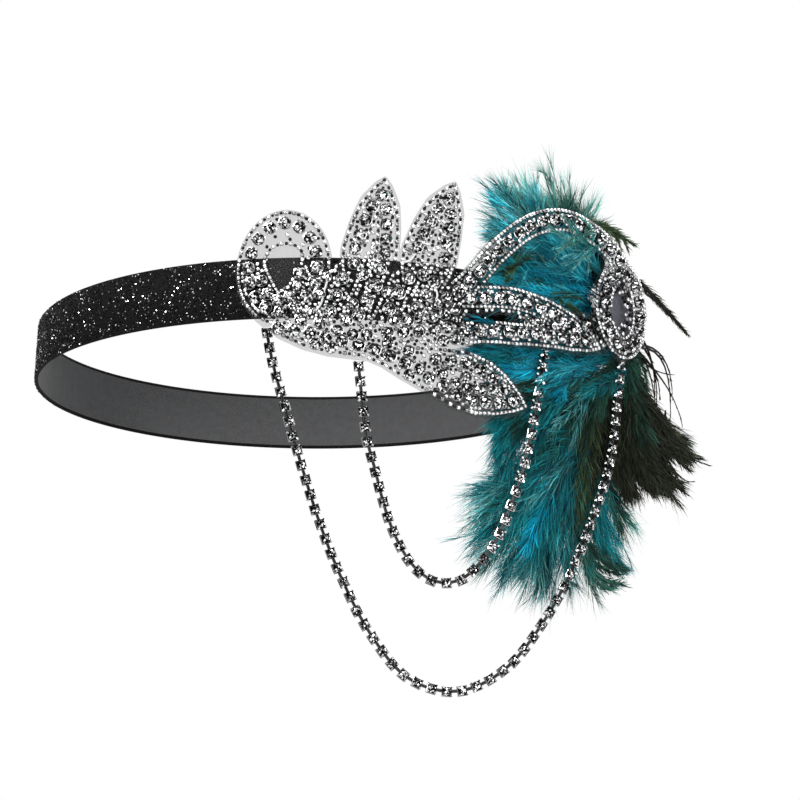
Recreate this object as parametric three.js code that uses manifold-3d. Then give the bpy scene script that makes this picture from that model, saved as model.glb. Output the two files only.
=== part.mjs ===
// A flapper's feather headband: an elastic loop, a rhinestone applique on sheer cloth,
// two hanging cup chains and a bunch of feathers behind the applique's far end.
// Millimetres. The loop lies level round the origin, +Z up, +X along its long axis.
import * as THREE from "three";
import { mergeVertices } from "three/addons/utils/BufferGeometryUtils.js";
import Module from "manifold-3d";

const wasm = await Module();
wasm.setup();

// Driving dimensions of the band, which fits a head 56 cm round
const bandLength = 196;
const bandWidth = 162;
const bandHeight = 20;
const bandWall = 1.2;
const bandSteps = 32;

// Driving dimensions of the applique, which is flat cloth wrapped round part of a cylinder
const appliqueStart = 16.3;
const appliqueWidth = 150;
const appliqueHeight = 76.5;
const clothThickness = 1;
const bandGap = 0.45;
const wrapStep = 12;
const outlineStep = 5;

// Driving dimensions of the stones in their settings
const stoneSize = 3.8;
const stoneHeight = 2.2;
const stoneGap = 1.2;
const stoneSeat = 0.3;
const edgeMargin = 2.8;
const archStripWidth = 8.6;

// Driving dimensions of the two chains
const cupSize = 3.5;
const cupHeight = 2.2;
const cupGap = 1.45;
const innerChainDrop = 72.6;
const innerChainBulge = 5;
const outerChainDrop = 112.5;
const outerChainBulge = 12;

// Driving dimensions of the feathers
const plumeLength = 100;
const plumeSetBack = 6.5;
const lockWidth = 13;
const lockThickness = 3.4;
const headWidth = 18;
const headHeight = 14;
const headThickness = 6.4;
const hackleLength = 62;
const hackleThickness = 3;
const hackleSetBack = 5;
const pieceGap = 0.3;

// A cut stone is an octagon: its table's width and its bar's height, as shares of the stone's own
const TABLE_SHARE = 0.58;
const BAR_SHARE = 0.4;

// The cloth bends a little less than the band does at the middle of its front
const WRAP_SHARE = 1.01714;
const appliqueRadius = (WRAP_SHARE * bandLength ** 2) / (2 * bandWidth);

const stonePitch = stoneSize + stoneGap;
const rowInset = edgeMargin + stoneSize / 2;

const materials = {
  elastic: new THREE.MeshStandardMaterial({ color: 0x1a191c, roughness: 0.75, metalness: 0.1 }),
  organza: new THREE.MeshStandardMaterial({ color: 0xd9d9dc, roughness: 0.6, metalness: 0 }),
  rhinestone: new THREE.MeshStandardMaterial({ color: 0xc9c9cf, roughness: 0.12, metalness: 0.85 }),
  cup_chain: new THREE.MeshStandardMaterial({ color: 0x8d8c8e, roughness: 0.2, metalness: 0.9 }),
  teal_feather: new THREE.MeshStandardMaterial({ color: 0x0e6f7c, roughness: 0.8, metalness: 0 }),
  dark_feather: new THREE.MeshStandardMaterial({ color: 0x1d2618, roughness: 0.7, metalness: 0 }),
};

const headband = new THREE.Group();

function addPiece(name, geometry, material) {
  const mesh = new THREE.Mesh(geometry, material);
  mesh.name = name;
  headband.add(mesh);
}

// Joining and cutting closed meshes
function solidOf(geometry) {
  const bare = geometry.clone();
  bare.deleteAttribute("normal");
  bare.deleteAttribute("uv");
  const merged = mergeVertices(bare, 1e-4);
  return new wasm.Manifold(
    new wasm.Mesh({
      numProp: 3,
      vertProperties: new Float32Array(merged.attributes.position.array),
      triVerts: new Uint32Array(merged.index.array),
    }),
  );
}

function geometryOf(solid) {
  const mesh = solid.getMesh();
  const geometry = new THREE.BufferGeometry();
  geometry.setAttribute("position", new THREE.BufferAttribute(mesh.vertProperties, 3));
  geometry.setIndex(new THREE.BufferAttribute(mesh.triVerts, 1));
  return geometry;
}

function joined(geometries) {
  return geometries.map(solidOf).reduce((all, one) => all.add(one));
}

// The wrap: flat places are u along the cloth, v up and h out of its front face
const wrapCentreY =
  appliqueRadius - clothThickness - bandGap - bandWidth / 2 - bandWall / 2;

function wrap(u, v, h) {
  const angle = u / appliqueRadius;
  const reach = appliqueRadius + h;
  return new THREE.Vector3(reach * Math.sin(angle), wrapCentreY - reach * Math.cos(angle), v);
}

function wrapOut(u) {
  const angle = u / appliqueRadius;
  return new THREE.Vector3(Math.sin(angle), -Math.cos(angle), 0);
}

// A flat place from shares of the applique's width and height
function flat([across, up]) {
  return new THREE.Vector2(appliqueStart + across * appliqueWidth, up * appliqueHeight);
}

// Cuts flat triangles at the upright line at u, so that their faces can bend there
function cutAt(triangles, u) {
  const pieces = [];
  for (const triangle of triangles) {
    for (const side of [-1, 1]) {
      const loop = [];
      triangle.forEach((p, i) => {
        const q = triangle[(i + 1) % 3];
        if (side * (p.x - u) >= 0) loop.push(p);
        if ((p.x - u) * (q.x - u) < 0) {
          const [a, b] = p.x < q.x ? [p, q] : [q, p];
          loop.push(a.clone().lerp(b, (u - a.x) / (b.x - a.x)));
        }
      });
      for (let i = 1; i + 1 < loop.length; i++) pieces.push([loop[0], loop[i], loop[i + 1]]);
    }
  }
  return pieces;
}

// Bends a flat solid onto the wrap, cut at evenly spaced upright lines
function wrapped(solid) {
  const { vertProperties, triVerts } = solid.getMesh();
  const cornerOf = (k) => new THREE.Vector3().fromArray(vertProperties, 3 * k);
  let triangles = [];
  for (let i = 0; i < triVerts.length; i += 3) {
    triangles.push([...triVerts.subarray(i, i + 3)].map(cornerOf));
  }
  for (let cut = wrapStep; cut < appliqueWidth; cut += wrapStep) {
    triangles = cutAt(triangles, appliqueStart + cut);
  }
  const bent = triangles.flat().map((p) => wrap(p.x, p.y, p.z));
  return mergeVertices(new THREE.BufferGeometry().setFromPoints(bent), 1e-3);
}

// The value of a table of [place, share] rows at t, straight between its rows
function shareAt(rows, t) {
  const i = Math.max(1, rows.findIndex(([place]) => place >= t));
  const [t0, s0] = rows[i - 1];
  const [t1, s1] = rows[i];
  return s0 + ((s1 - s0) * (t - t0)) / (t1 - t0);
}

// Blades: [place along the spine, share of the blade's width]
const PROFILES = {
  leaf: [[0, 0.75], [0.12, 0.9], [0.28, 0.97], [0.5, 0.87], [0.7, 0.71], [0.88, 0.36], [1, 0.04]],
  middle: [[0, 0.98], [0.12, 1.02], [0.25, 0.98], [0.45, 1], [0.63, 0.87], [0.81, 0.66],
    [0.93, 0.38], [1, 0.04]],
  drop: [[0, 0.25], [0.11, 0.36], [0.25, 0.6], [0.4, 0.8], [0.57, 1], [0.7, 0.96], [0.82, 0.74],
    [0.92, 0.42], [1, 0.06]],
  keel: [[0, 0.2], [0.12, 0.53], [0.31, 0.88], [0.48, 1], [0.64, 0.95], [0.83, 0.73], [1, 0.5]],
  web: [[0, 0.35], [0.12, 0.8], [0.3, 1], [0.55, 1], [0.78, 0.62], [1, 0.3]],
  slit: [[0, 0.06], [0.2, 0.8], [0.5, 1], [0.8, 0.7], [1, 0.06]],
};

// root and tip are shares of the applique's size, bow and width shares of its height
const BLADES = {
  tall_leaf: { root: [0.278, 0.026], tip: [0.314, 0.484], bow: 0, width: 0.255, profile: "leaf" },
  second_leaf: { root: [0.401, 0.026], tip: [0.466, 0.49], bow: 0.01, width: 0.255, profile: "leaf" },
  middle_leaf: { root: [0.42, -0.124], tip: [0.84, -0.118], bow: 0.062, width: 0.266,
    profile: "middle" },
  lower_leaf: { root: [0.291, -0.281], tip: [0.645, -0.444], bow: 0.01, width: 0.268,
    profile: "drop" },
  keel: { root: [0.038, -0.092], tip: [0.318, -0.268], bow: 0, width: 0.209, profile: "keel" },
  web: { root: [0.165, -0.039], tip: [0.505, -0.14], bow: 0, width: 0.36, profile: "web" },
  far_link: { root: [0.745, -0.052], tip: [0.891, -0.065], bow: 0, width: 0.17, profile: "web" },
  slit: { root: [0.495, -0.107], tip: [0.611, -0.063], bow: 0, width: 0.036, profile: "slit" },
};

// Eyes: centre as shares of the applique's size, half width and half height as shares of its height
const EYES = {
  left_eye: { centre: [0.105, 0.078], half: [0.2065, 0.255] },
  right_eye: { centre: [0.909, 0.092], half: [0.1778, 0.226] },
};

// The middle of the arch's strip, from the web over to the right eye
const ARCH_SPINE = [
  [0.455, -0.039], [0.515, 0.085], [0.568, 0.218], [0.645, 0.353], [0.728, 0.41],
  [0.805, 0.39], [0.871, 0.333], [0.931, 0.248],
];

// A blade's spine, and the place at t along it and aside of it to its left
function bladeOf({ root, tip, bow, width, profile }) {
  const start = flat(root);
  const end = flat(tip);
  const left = end.clone().sub(start).normalize().rotateAround(new THREE.Vector2(), Math.PI / 2);
  const middle = start.clone().lerp(end, 0.5).addScaledVector(left, 2 * bow * appliqueHeight);
  const spine = new THREE.QuadraticBezierCurve(start, middle, end);
  const halfWidth = (t) => (shareAt(PROFILES[profile], t) * width * appliqueHeight) / 2;
  const aside = (t, distance) => {
    const along = spine.getTangent(t);
    return spine.getPoint(t).add(new THREE.Vector2(-along.y, along.x).multiplyScalar(distance));
  };
  return { spine, halfWidth, aside, length: spine.getLength() };
}

function bladeOutline(row) {
  const blade = bladeOf(row);
  const stations = PROFILES[row.profile].map(([t]) => t);
  const edge = (side) =>
    new THREE.SplineCurve(stations.map((t) => blade.aside(t, side * blade.halfWidth(t))));
  const steps = Math.max(4, Math.round(blade.length / outlineStep));
  const there = edge(-1).getSpacedPoints(steps);
  const back = edge(1).getSpacedPoints(steps).reverse();
  return new THREE.Shape([...there, ...back]);
}

function eyeOutline({ centre, half }) {
  const middle = flat(centre);
  const points = [];
  const steps = 24;
  for (let i = 0; i < steps; i++) {
    const turn = (i / steps) * 2 * Math.PI;
    points.push(new THREE.Vector2(
      middle.x + half[0] * appliqueHeight * Math.cos(turn),
      middle.y + half[1] * appliqueHeight * Math.sin(turn),
    ));
  }
  return new THREE.Shape(points);
}

const archSpine = new THREE.SplineCurve(ARCH_SPINE.map(flat));

function archOutline() {
  const steps = 16;
  const edge = (side) => {
    const points = [];
    for (let i = 0; i <= steps; i++) {
      const along = archSpine.getTangentAt(i / steps);
      const offset = new THREE.Vector2(-along.y, along.x).multiplyScalar((side * archStripWidth) / 2);
      points.push(archSpine.getPointAt(i / steps).add(offset));
    }
    return points;
  };
  return new THREE.Shape([...edge(-1), ...edge(1).reverse()]);
}

// The cloth runs from its back face up to h = 0
function clothOf(shape, thickness = clothThickness) {
  const cloth = new THREE.ExtrudeGeometry(shape, { depth: thickness, bevelEnabled: false });
  return cloth.translate(0, 0, -(clothThickness + thickness) / 2);
}

function appliqueBacking() {
  const { slit, ...blades } = BLADES;
  const outlines = [
    ...Object.values(blades).map((row) => bladeOutline(row)),
    ...Object.values(EYES).map(eyeOutline),
    archOutline(),
  ];
  const cut = clothOf(bladeOutline(slit), 3 * clothThickness);
  return wrapped(joined(outlines.map((shape) => clothOf(shape))).subtract(solidOf(cut)));
}

// Rows of stones
// A stone stands at a frame { at, along, out }: its base is centred at the place, along is the way
// that its row runs and out is the way that its table faces.
function framesAlong(places, outs, closed) {
  const last = places.length - 1;
  return places.map((at, i) => {
    const before = places[i > 0 ? i - 1 : closed ? last : 0];
    const after = places[i < last ? i + 1 : closed ? 0 : last];
    const along = after.clone().sub(before);
    const out = outs[i].clone();
    along.addScaledVector(out, -along.dot(out)).normalize();
    return { at, along, out };
  });
}

// One closed surface for a whole row: octagonal stones with a table, and a bar from each to the next
function stoneRow(frames, size, height, closed = false) {
  const sides = 8;
  const reach = size / 2 / Math.cos(Math.PI / sides);
  const corners = [];
  const faces = [];
  const cornerAt = (frame, k, share) => {
    const turn = ((k + 0.5) / sides) * 2 * Math.PI;
    const wide = reach * (1 + (TABLE_SHARE - 1) * share);
    const aside = new THREE.Vector3().crossVectors(frame.out, frame.along);
    corners.push(
      frame.at.clone()
        .addScaledVector(frame.along, wide * Math.cos(turn))
        .addScaledVector(aside, wide * Math.sin(turn))
        .addScaledVector(frame.out, height * share),
    );
    return corners.length - 1;
  };
  const face = (...loop) => {
    for (let i = 1; i + 1 < loop.length; i++) faces.push(loop[0], loop[i], loop[i + 1]);
  };
  const stones = frames.map((frame) => {
    const ring = (share) => Array.from({ length: sides }, (_, k) => cornerAt(frame, k, share));
    const middle = {};
    for (const k of [7, 0, 3, 4]) middle[k] = cornerAt(frame, k, BAR_SHARE);
    return { base: ring(0), table: ring(1), middle };
  });
  stones.forEach(({ base, table, middle }, i) => {
    face(...[...base].reverse());
    face(...table);
    for (let j = 0; j < sides; j++) {
      const k = (j + 1) % sides;
      if (j === 7 || j === 3) face(middle[j], middle[k], table[k], table[j]);
      else if (k in middle) face(base[j], base[k], middle[k], table[k], table[j]);
      else if (j in middle) face(base[k], table[k], table[j], middle[j], base[j]);
      else face(base[j], base[k], table[k], table[j]);
    }
    const isFirst = i === 0 && !closed;
    const isLast = i === stones.length - 1 && !closed;
    if (isFirst) face(base[3], base[4], middle[4], middle[3]);
    if (isLast) {
      face(base[7], base[0], middle[0], middle[7]);
      return;
    }
    const next = stones[(i + 1) % stones.length];
    face(base[0], next.base[3], next.base[4], base[7]);
    face(middle[7], next.middle[4], next.middle[3], middle[0]);
    face(base[0], middle[0], next.middle[3], next.base[3]);
    face(base[7], next.base[4], next.middle[4], middle[7]);
  });
  const geometry = new THREE.BufferGeometry().setFromPoints(corners);
  geometry.setIndex(faces);
  return geometry;
}

// Sets a row of stones on the cloth's front, at flat places
function sewnRow(name, places, closed = false) {
  const at = places.map(({ x, y }) => wrap(x, y, stoneSeat));
  const outs = places.map(({ x }) => wrapOut(x));
  const geometry = stoneRow(framesAlong(at, outs, closed), stoneSize, stoneHeight, closed);
  addPiece(name, geometry, materials.rhinestone);
}

// Even places along a flat curve, end to end
function placesAlong(curve, closed = false) {
  const count = Math.round(curve.getLength() / stonePitch);
  const places = curve.getSpacedPoints(count);
  if (closed) places.pop();
  return places;
}

// A leaf's hairpin row: from the root up its left edge, over a stone at the tip and down its right
function hairpin(row, start) {
  const blade = bladeOf(row);
  let top = 1;
  while (blade.halfWidth(top) < rowInset) top -= 0.005;
  const side = (sign) => {
    const points = [];
    const steps = 24;
    for (let i = 0; i <= steps; i++) {
      const t = top + ((start - top) * i) / steps;
      points.push(blade.aside(t, sign * Math.max(0, blade.halfWidth(t) - rowInset)));
    }
    const edge = new THREE.SplineCurve(points);
    const length = edge.getLength();
    const count = Math.floor(length / stonePitch);
    return Array.from({ length: count }, (_, i) => edge.getPointAt(((i + 1) * stonePitch) / length));
  };
  return [...side(1).reverse(), blade.aside(top, 0), ...side(-1)];
}

function eyeRing({ centre, half }) {
  const middle = flat(centre);
  const points = [];
  const steps = 24;
  for (let i = 0; i < steps; i++) {
    const turn = (i / steps) * 2 * Math.PI;
    points.push(new THREE.Vector3(
      middle.x + (half[0] * appliqueHeight - rowInset) * Math.cos(turn),
      middle.y + (half[1] * appliqueHeight - rowInset) * Math.sin(turn),
      0,
    ));
  }
  return placesAlong(new THREE.CatmullRomCurve3(points, true), true);
}

// Where each leaf's two rows begin, as a share of its spine
const HAIRPIN_STARTS = { tall_leaf: 0.1, second_leaf: 0.17, middle_leaf: 0.16, lower_leaf: 0.36 };

const KEEL_ROW = [[0.101, -0.186], [0.171, -0.207], [0.238, -0.239], [0.305, -0.268], [0.371, -0.318]];

const FINGERS = [
  { from: [0.233, 0.029], to: [0.209, -0.115] },
  { from: [0.303, 0.005], to: [0.269, -0.126] },
  { from: [0.371, 0.046], to: [0.333, -0.092] },
  { from: [0.426, 0.039], to: [0.393, -0.078] },
  { from: [0.331, -0.196], to: [0.431, -0.17] },
];

// The share of the arch's spine that its row of stones covers
const ARCH_ROW = [0.06, 0.92];

function archRow() {
  const [from, to] = ARCH_ROW;
  const count = Math.round((archSpine.getLength() * (to - from)) / stonePitch);
  return Array.from({ length: count + 1 }, (_, i) =>
    archSpine.getPointAt(from + ((to - from) * i) / count));
}

function addStones() {
  sewnRow("left_eye_stones", eyeRing(EYES.left_eye), true);
  sewnRow("right_eye_stones", eyeRing(EYES.right_eye), true);
  for (const [leaf, start] of Object.entries(HAIRPIN_STARTS)) {
    sewnRow(leaf + "_stones", hairpin(BLADES[leaf], start));
  }
  sewnRow("keel_stones", placesAlong(new THREE.SplineCurve(KEEL_ROW.map(flat))));
  sewnRow("arch_stones", archRow());
  FINGERS.forEach(({ from, to }, i) => {
    sewnRow(`finger_stones_${i + 1}`, placesAlong(new THREE.LineCurve(flat(from), flat(to))));
  });
}

// Chains
// Their end cups are sewn behind the cloth's lower edge, each at a share of the applique's size. A
// route's few points are chosen by hand: share of the way across, share of the chain's drop and
// share of the bulge by which the feathers push it out.
const CHAINS = {
  inner_chain: {
    from: [0.275, -0.327], to: [0.703, -0.175], drop: innerChainDrop, bulge: innerChainBulge,
    route: [
      [0, 0, 0], [0.035, 0.211, 0.02], [0.061, 0.341, 0.03], [0.1, 0.446, 0.03],
      [0.175, 0.664, 0.05], [0.231, 0.778, 0.06], [0.3, 0.882, 0.08], [0.395, 0.966, 0.1],
      [0.468, 0.995, 0.12], [0.532, 1, 0.2], [0.594, 0.985, 0.3], [0.694, 0.907, 0.5],
      [0.767, 0.805, 0.64], [0.815, 0.694, 0.75], [0.881, 0.517, 0.9], [0.937, 0.26, 0.78],
      [1, 0, 0],
    ],
  },
  outer_chain: {
    from: [0.071, -0.186], to: [0.938, -0.131], drop: outerChainDrop, bulge: outerChainBulge,
    route: [
      [0, 0, 0], [0.017, 0.08, 0.03], [0.063, 0.237, 0.1], [0.113, 0.4, 0.17],
      [0.168, 0.562, 0.25], [0.232, 0.715, 0.35], [0.301, 0.845, 0.45], [0.39, 0.956, 0.54],
      [0.463, 0.993, 0.61], [0.525, 1, 0.68], [0.587, 0.983, 0.74], [0.671, 0.921, 0.84],
      [0.761, 0.79, 0.95], [0.838, 0.641, 0.86], [0.889, 0.518, 0.67], [0.93, 0.408, 0.48],
      [0.965, 0.297, 0.24], [0.983, 0.179, 0.11], [1, 0, 0],
    ],
  },
};

const endSetBack = clothThickness + pieceGap + Math.hypot(cupSize, cupHeight) / 2;

function sewnAt(shares) {
  const { x, y } = flat(shares);
  return wrap(x, y, -endSetBack);
}

// The level way from one end to the other, and the way out of the chain's upright plane
function chainPlane(start, end) {
  const across = end.clone().sub(start).setZ(0);
  const span = across.length();
  across.normalize();
  return { across, span, out: new THREE.Vector3(across.y, -across.x, 0) };
}

function addChain(name, { from, to, drop, bulge, route }) {
  const start = sewnAt(from);
  const end = sewnAt(to);
  const { across, span, out } = chainPlane(start, end);
  const points = route.map(([way, down, forward]) =>
    start.clone()
      .addScaledVector(across, way * span)
      .addScaledVector(out, forward * bulge)
      .setZ(start.z + way * (end.z - start.z) - down * drop));
  const curve = new THREE.CatmullRomCurve3(points, false, "centripetal");
  curve.arcLengthDivisions = 600;
  const count = Math.round(curve.getLength() / (cupSize + cupGap));
  const places = curve.getSpacedPoints(count).map((p) => p.addScaledVector(out, -cupHeight / 2));
  const frames = framesAlong(places, places.map(() => out), false);
  addPiece(name, stoneRow(frames, cupSize, cupHeight), materials.cup_chain);
}

// Feathers
// A lock is a flat tapering strip. Its tip and the place that bends it are given in flat places:
// share of the applique's width, share of the plume's length, share of its set-back.
const TEAL_LOCKS = [
  { tip: [0.558, 0.42, 1.4], bend: [0.74, 0.4, 1.2], width: 0.85 },
  { tip: [0.638, 0.45, 1.3], bend: [0.8, 0.36, 1.1], width: 1 },
  { tip: [0.718, 0.48, 1.2], bend: [0.82, 0.3, 1.1], width: 1 },
  { tip: [0.805, 0.47, 1.1], bend: [0.86, 0.26, 1.1], width: 0.9 },
  { tip: [0.885, 0.41, 1.1], bend: [0.9, 0.24, 1.1], width: 0.75 },
  { tip: [0.958, 0.32, 1], bend: [0.9, 0.26, 1.1], width: 0.5 },
  { tip: [0.545, 0.27, 1.4], bend: [0.78, 0.28, 1.2], width: 0.8 },
  { tip: [0.585, -0.2, 1.3], bend: [0.8, -0.2, 1.2], width: 0.75 },
  { tip: [0.571, -0.4, 1.3], bend: [0.76, -0.25, 1.3], width: 1 },
  { tip: [0.538, -0.62, 1.5], bend: [0.76, -0.4, 1.5], width: 1 },
  { tip: [0.531, -0.78, 1.6], bend: [0.74, -0.5, 1.6], width: 1 },
  { tip: [0.598, -0.88, 1.6], bend: [0.78, -0.5, 1.7], width: 1 },
  { tip: [0.678, -0.95, 1.6], bend: [0.82, -0.5, 1.7], width: 1 },
  { tip: [0.758, -0.92, 1.6], bend: [0.86, -0.5, 1.7], width: 1 },
  { tip: [0.825, -0.88, 1.5], bend: [0.88, -0.5, 1.6], width: 0.9 },
  { tip: [0.891, -0.88, 1.4], bend: [0.92, -0.5, 1.5], width: 0.8 },
  { tip: [0.965, -0.82, 1.3], bend: [0.94, -0.5, 1.3], width: 0.7 },
  { tip: [0.638, -0.62, 1.1], bend: [0.8, -0.36, 1.3], width: 1.2 },
  { tip: [0.731, -0.74, 1.1], bend: [0.85, -0.4, 1.2], width: 1.2 },
  { tip: [0.825, -0.66, 1.1], bend: [0.88, -0.36, 1.2], width: 1.2 },
];

// Where the plume's head is centred, behind the right eye
const PLUME_ROOT = [0.891, 0.01];

// The hackle's tips, from its own root: share of its length aside and up, and its width as a share
const HACKLE_LOCKS = [
  { aside: 0.2, up: -0.9, width: 0.9 },
  { aside: 0.37, up: -0.8, width: 1 },
  { aside: 0.51, up: -0.65, width: 0.9 },
  { aside: 0.52, up: -0.48, width: 0.85 },
  { aside: 0.3, up: -0.37, width: 0.75 },
  { aside: 0.5, up: 0.11, width: 0.25 },
];

// The hackle hangs from behind the plume's head, in an upright plane that faces this far from -Y
const HACKLE_TURN = THREE.MathUtils.degToRad(42.5);
const HACKLE_ROOT = [0.93, -0.05];

// How far the middle of a hackle's lock lies along the way to its tip: aside, up and back
const HACKLE_BEND = [0.25, 0.5, 1.2];

// A lock's sections: [place along it, share of its width, share of its thickness]
const LOCK_SECTIONS = [[0, 0.3, 0.7], [0.28, 0.75, 1], [0.58, 1, 1], [0.82, 0.72, 0.8], [1, 0.12, 0.25]];

// A flat strip along a curve in a space whose third axis is its thickness, then placed by a function
function lockOf(curve, width, thickness, place) {
  const corners = [];
  const faces = [];
  for (const [t, wide, thick] of LOCK_SECTIONS) {
    const at = curve.getPoint(t);
    const along = curve.getTangent(t);
    const aside = new THREE.Vector3(-along.y, along.x, 0).normalize();
    for (const [a, b] of [[1, 0], [0, 1], [-1, 0], [0, -1]]) {
      const corner = at.clone().addScaledVector(aside, (a * wide * width) / 2);
      corner.z += (b * thick * thickness) / 2;
      corners.push(place(corner));
    }
  }
  const quad = (a, b, c, d) => faces.push(a, b, c, a, c, d);
  const last = 4 * (LOCK_SECTIONS.length - 1);
  for (let ring = 0; ring < last; ring += 4) {
    for (let k = 0; k < 4; k++) {
      const next = (k + 1) % 4;
      quad(ring + k, ring + next, ring + 4 + next, ring + 4 + k);
    }
  }
  quad(3, 2, 1, 0);
  quad(last, last + 1, last + 2, last + 3);
  const geometry = new THREE.BufferGeometry().setFromPoints(corners);
  geometry.setIndex(faces);
  return geometry;
}

// An oval pad in flat places, from one set-back to another
function padOf(root, width, height, front, thickness) {
  const oval = new THREE.Shape().absellipse(root.x, root.y, width / 2, height / 2, 0, 2 * Math.PI);
  const pad = new THREE.ExtrudeGeometry(oval, {
    depth: thickness, bevelEnabled: false, curveSegments: 6,
  });
  return wrapped(solidOf(pad.translate(0, 0, -front - thickness)));
}

const headFront = clothThickness + pieceGap;

function tealPlume() {
  const root = flat(PLUME_ROOT);
  const start = new THREE.Vector3(root.x, root.y, -plumeSetBack);
  const flatPlace = ([across, up, back]) =>
    new THREE.Vector3(flat([across, 0]).x, up * plumeLength, -back * plumeSetBack);
  const locks = TEAL_LOCKS.map(({ tip, bend, width }) => {
    const curve = new THREE.QuadraticBezierCurve3(start, flatPlace(bend), flatPlace(tip));
    return lockOf(curve, width * lockWidth, lockThickness, (p) => wrap(p.x, p.y, p.z));
  });
  const head = padOf(root, headWidth, headHeight, headFront, headThickness);
  return geometryOf(joined([head, ...locks]));
}

function darkHackle() {
  const root = flat(HACKLE_ROOT);
  const front = headFront + headThickness + pieceGap;
  const start = wrap(root.x, root.y, -front - hackleThickness / 2);
  const out = new THREE.Vector3(Math.sin(HACKLE_TURN), -Math.cos(HACKLE_TURN), 0);
  const aside = new THREE.Vector3(Math.cos(HACKLE_TURN), Math.sin(HACKLE_TURN), 0);
  const place = (p) =>
    start.clone().addScaledVector(aside, p.x).addScaledVector(out, p.z)
      .add(new THREE.Vector3(0, 0, p.y));
  const locks = HACKLE_LOCKS.map((row) => {
    const tip = new THREE.Vector3(row.aside * hackleLength, row.up * hackleLength, -hackleSetBack);
    const bend = tip.clone().multiply(new THREE.Vector3(...HACKLE_BEND));
    const curve = new THREE.QuadraticBezierCurve3(new THREE.Vector3(), bend, tip);
    return lockOf(curve, row.width * lockWidth, hackleThickness, place);
  });
  const head = padOf(root, headHeight / 2, headHeight / 2, front, hackleThickness);
  return geometryOf(joined([head, ...locks]));
}

// The band is an oval wall
function elasticBand() {
  const oval = new THREE.Shape();
  const outer = bandWall / 2;
  oval.absellipse(0, 0, bandLength / 2 + outer, bandWidth / 2 + outer, 0, 2 * Math.PI);
  const hollow = new THREE.Path();
  hollow.absellipse(0, 0, bandLength / 2 - outer, bandWidth / 2 - outer, 0, 2 * Math.PI);
  oval.holes.push(hollow);
  const wall = new THREE.ExtrudeGeometry(oval, {
    depth: bandHeight, bevelEnabled: false, curveSegments: bandSteps,
  });
  return wall.translate(0, 0, -bandHeight / 2);
}

addPiece("elastic_band", elasticBand(), materials.elastic);
addPiece("applique_backing", appliqueBacking(), materials.organza);
addStones();
for (const [name, chain] of Object.entries(CHAINS)) addChain(name, chain);
addPiece("teal_plume", tealPlume(), materials.teal_feather);
addPiece("dark_hackle", darkHackle(), materials.dark_feather);

export default headband;
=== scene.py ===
import math

import bpy
import numpy as np
from mathutils import Matrix, Vector


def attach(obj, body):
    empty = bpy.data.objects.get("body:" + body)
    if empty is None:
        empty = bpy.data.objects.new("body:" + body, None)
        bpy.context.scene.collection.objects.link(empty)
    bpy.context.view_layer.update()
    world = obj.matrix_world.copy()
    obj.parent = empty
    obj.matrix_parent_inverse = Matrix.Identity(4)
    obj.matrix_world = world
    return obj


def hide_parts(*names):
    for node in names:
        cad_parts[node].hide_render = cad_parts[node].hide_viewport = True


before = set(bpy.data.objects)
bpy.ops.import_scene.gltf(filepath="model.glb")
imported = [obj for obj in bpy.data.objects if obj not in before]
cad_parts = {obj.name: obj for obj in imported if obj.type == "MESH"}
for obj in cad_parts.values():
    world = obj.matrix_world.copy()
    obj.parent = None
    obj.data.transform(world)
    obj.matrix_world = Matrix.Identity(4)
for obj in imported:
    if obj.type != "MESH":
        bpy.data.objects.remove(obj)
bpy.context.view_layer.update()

MM = 0.001

# The band's oval wall
BAND_LENGTH = 196
BAND_WIDTH = 162
BAND_HEIGHT = 20
BAND_WALL = 1.2

# The applique: flat cloth wrapped round part of a cylinder
APPLIQUE_RADIUS = 120.6
APPLIQUE_START = 16.3
APPLIQUE_WIDTH = 150
APPLIQUE_HEIGHT = 76.5
CLOTH_THICKNESS = 1
BAND_GAP = 0.45
ARCH_STRIP_WIDTH = 8.6

# Stones, their cups and the chains
STONE_SIZE = 3.8
STONE_GAP = 1.2
STONE_HEIGHT = 2.2
EDGE_MARGIN = 2.8
CUP_SIZE = 3.5
CUP_HEIGHT = 2.2
CUP_GAP = 1.45
PIECE_GAP = 0.3

STONE_PITCH = STONE_SIZE + STONE_GAP
ROW_INSET = EDGE_MARGIN + STONE_SIZE / 2
WRAP_CENTRE_Y = APPLIQUE_RADIUS - CLOTH_THICKNESS - BAND_GAP - BAND_WIDTH / 2 - BAND_WALL / 2

# Camera, from the photograph's perspective
CAMERA_PLACE = (433.27, -799.90, -261.23)
CAMERA_YAW = -0.4614
CAMERA_PITCH = 0.2668
CAMERA_ROLL = 0.0379
CAMERA_LENS = 123.03
FLOOR_Z = -470

rng = np.random.default_rng(11)


# Places on the cloth: u along it, v up and h out of its front
def wrap(points):
    u, v, h = np.moveaxis(np.asarray(points, float), -1, 0)
    angle = u / APPLIQUE_RADIUS
    reach = APPLIQUE_RADIUS + h
    return np.stack([reach * np.sin(angle), WRAP_CENTRE_Y - reach * np.cos(angle), v], -1)


def wrap_out(u):
    angle = np.asarray(u, float) / APPLIQUE_RADIUS
    return np.stack([np.sin(angle), -np.cos(angle), np.zeros_like(angle)], -1)


def flat(shares):
    across, up = np.moveaxis(np.asarray(shares, float), -1, 0)
    return np.stack([APPLIQUE_START + across * APPLIQUE_WIDTH, up * APPLIQUE_HEIGHT], -1)


def unit(vectors):
    return vectors / np.maximum(np.linalg.norm(vectors, axis=-1, keepdims=True), 1e-9)


def left_of(ways):
    """The flat direction to the left of each way."""
    turned = np.zeros_like(ways)
    turned[..., 0], turned[..., 1] = -ways[..., 1], ways[..., 0]
    return turned


# Curves
def bezier(start, middle, end, t):
    t = np.asarray(t, float)[..., None]
    return (1 - t) ** 2 * start + 2 * t * (1 - t) * middle + t**2 * end


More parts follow.
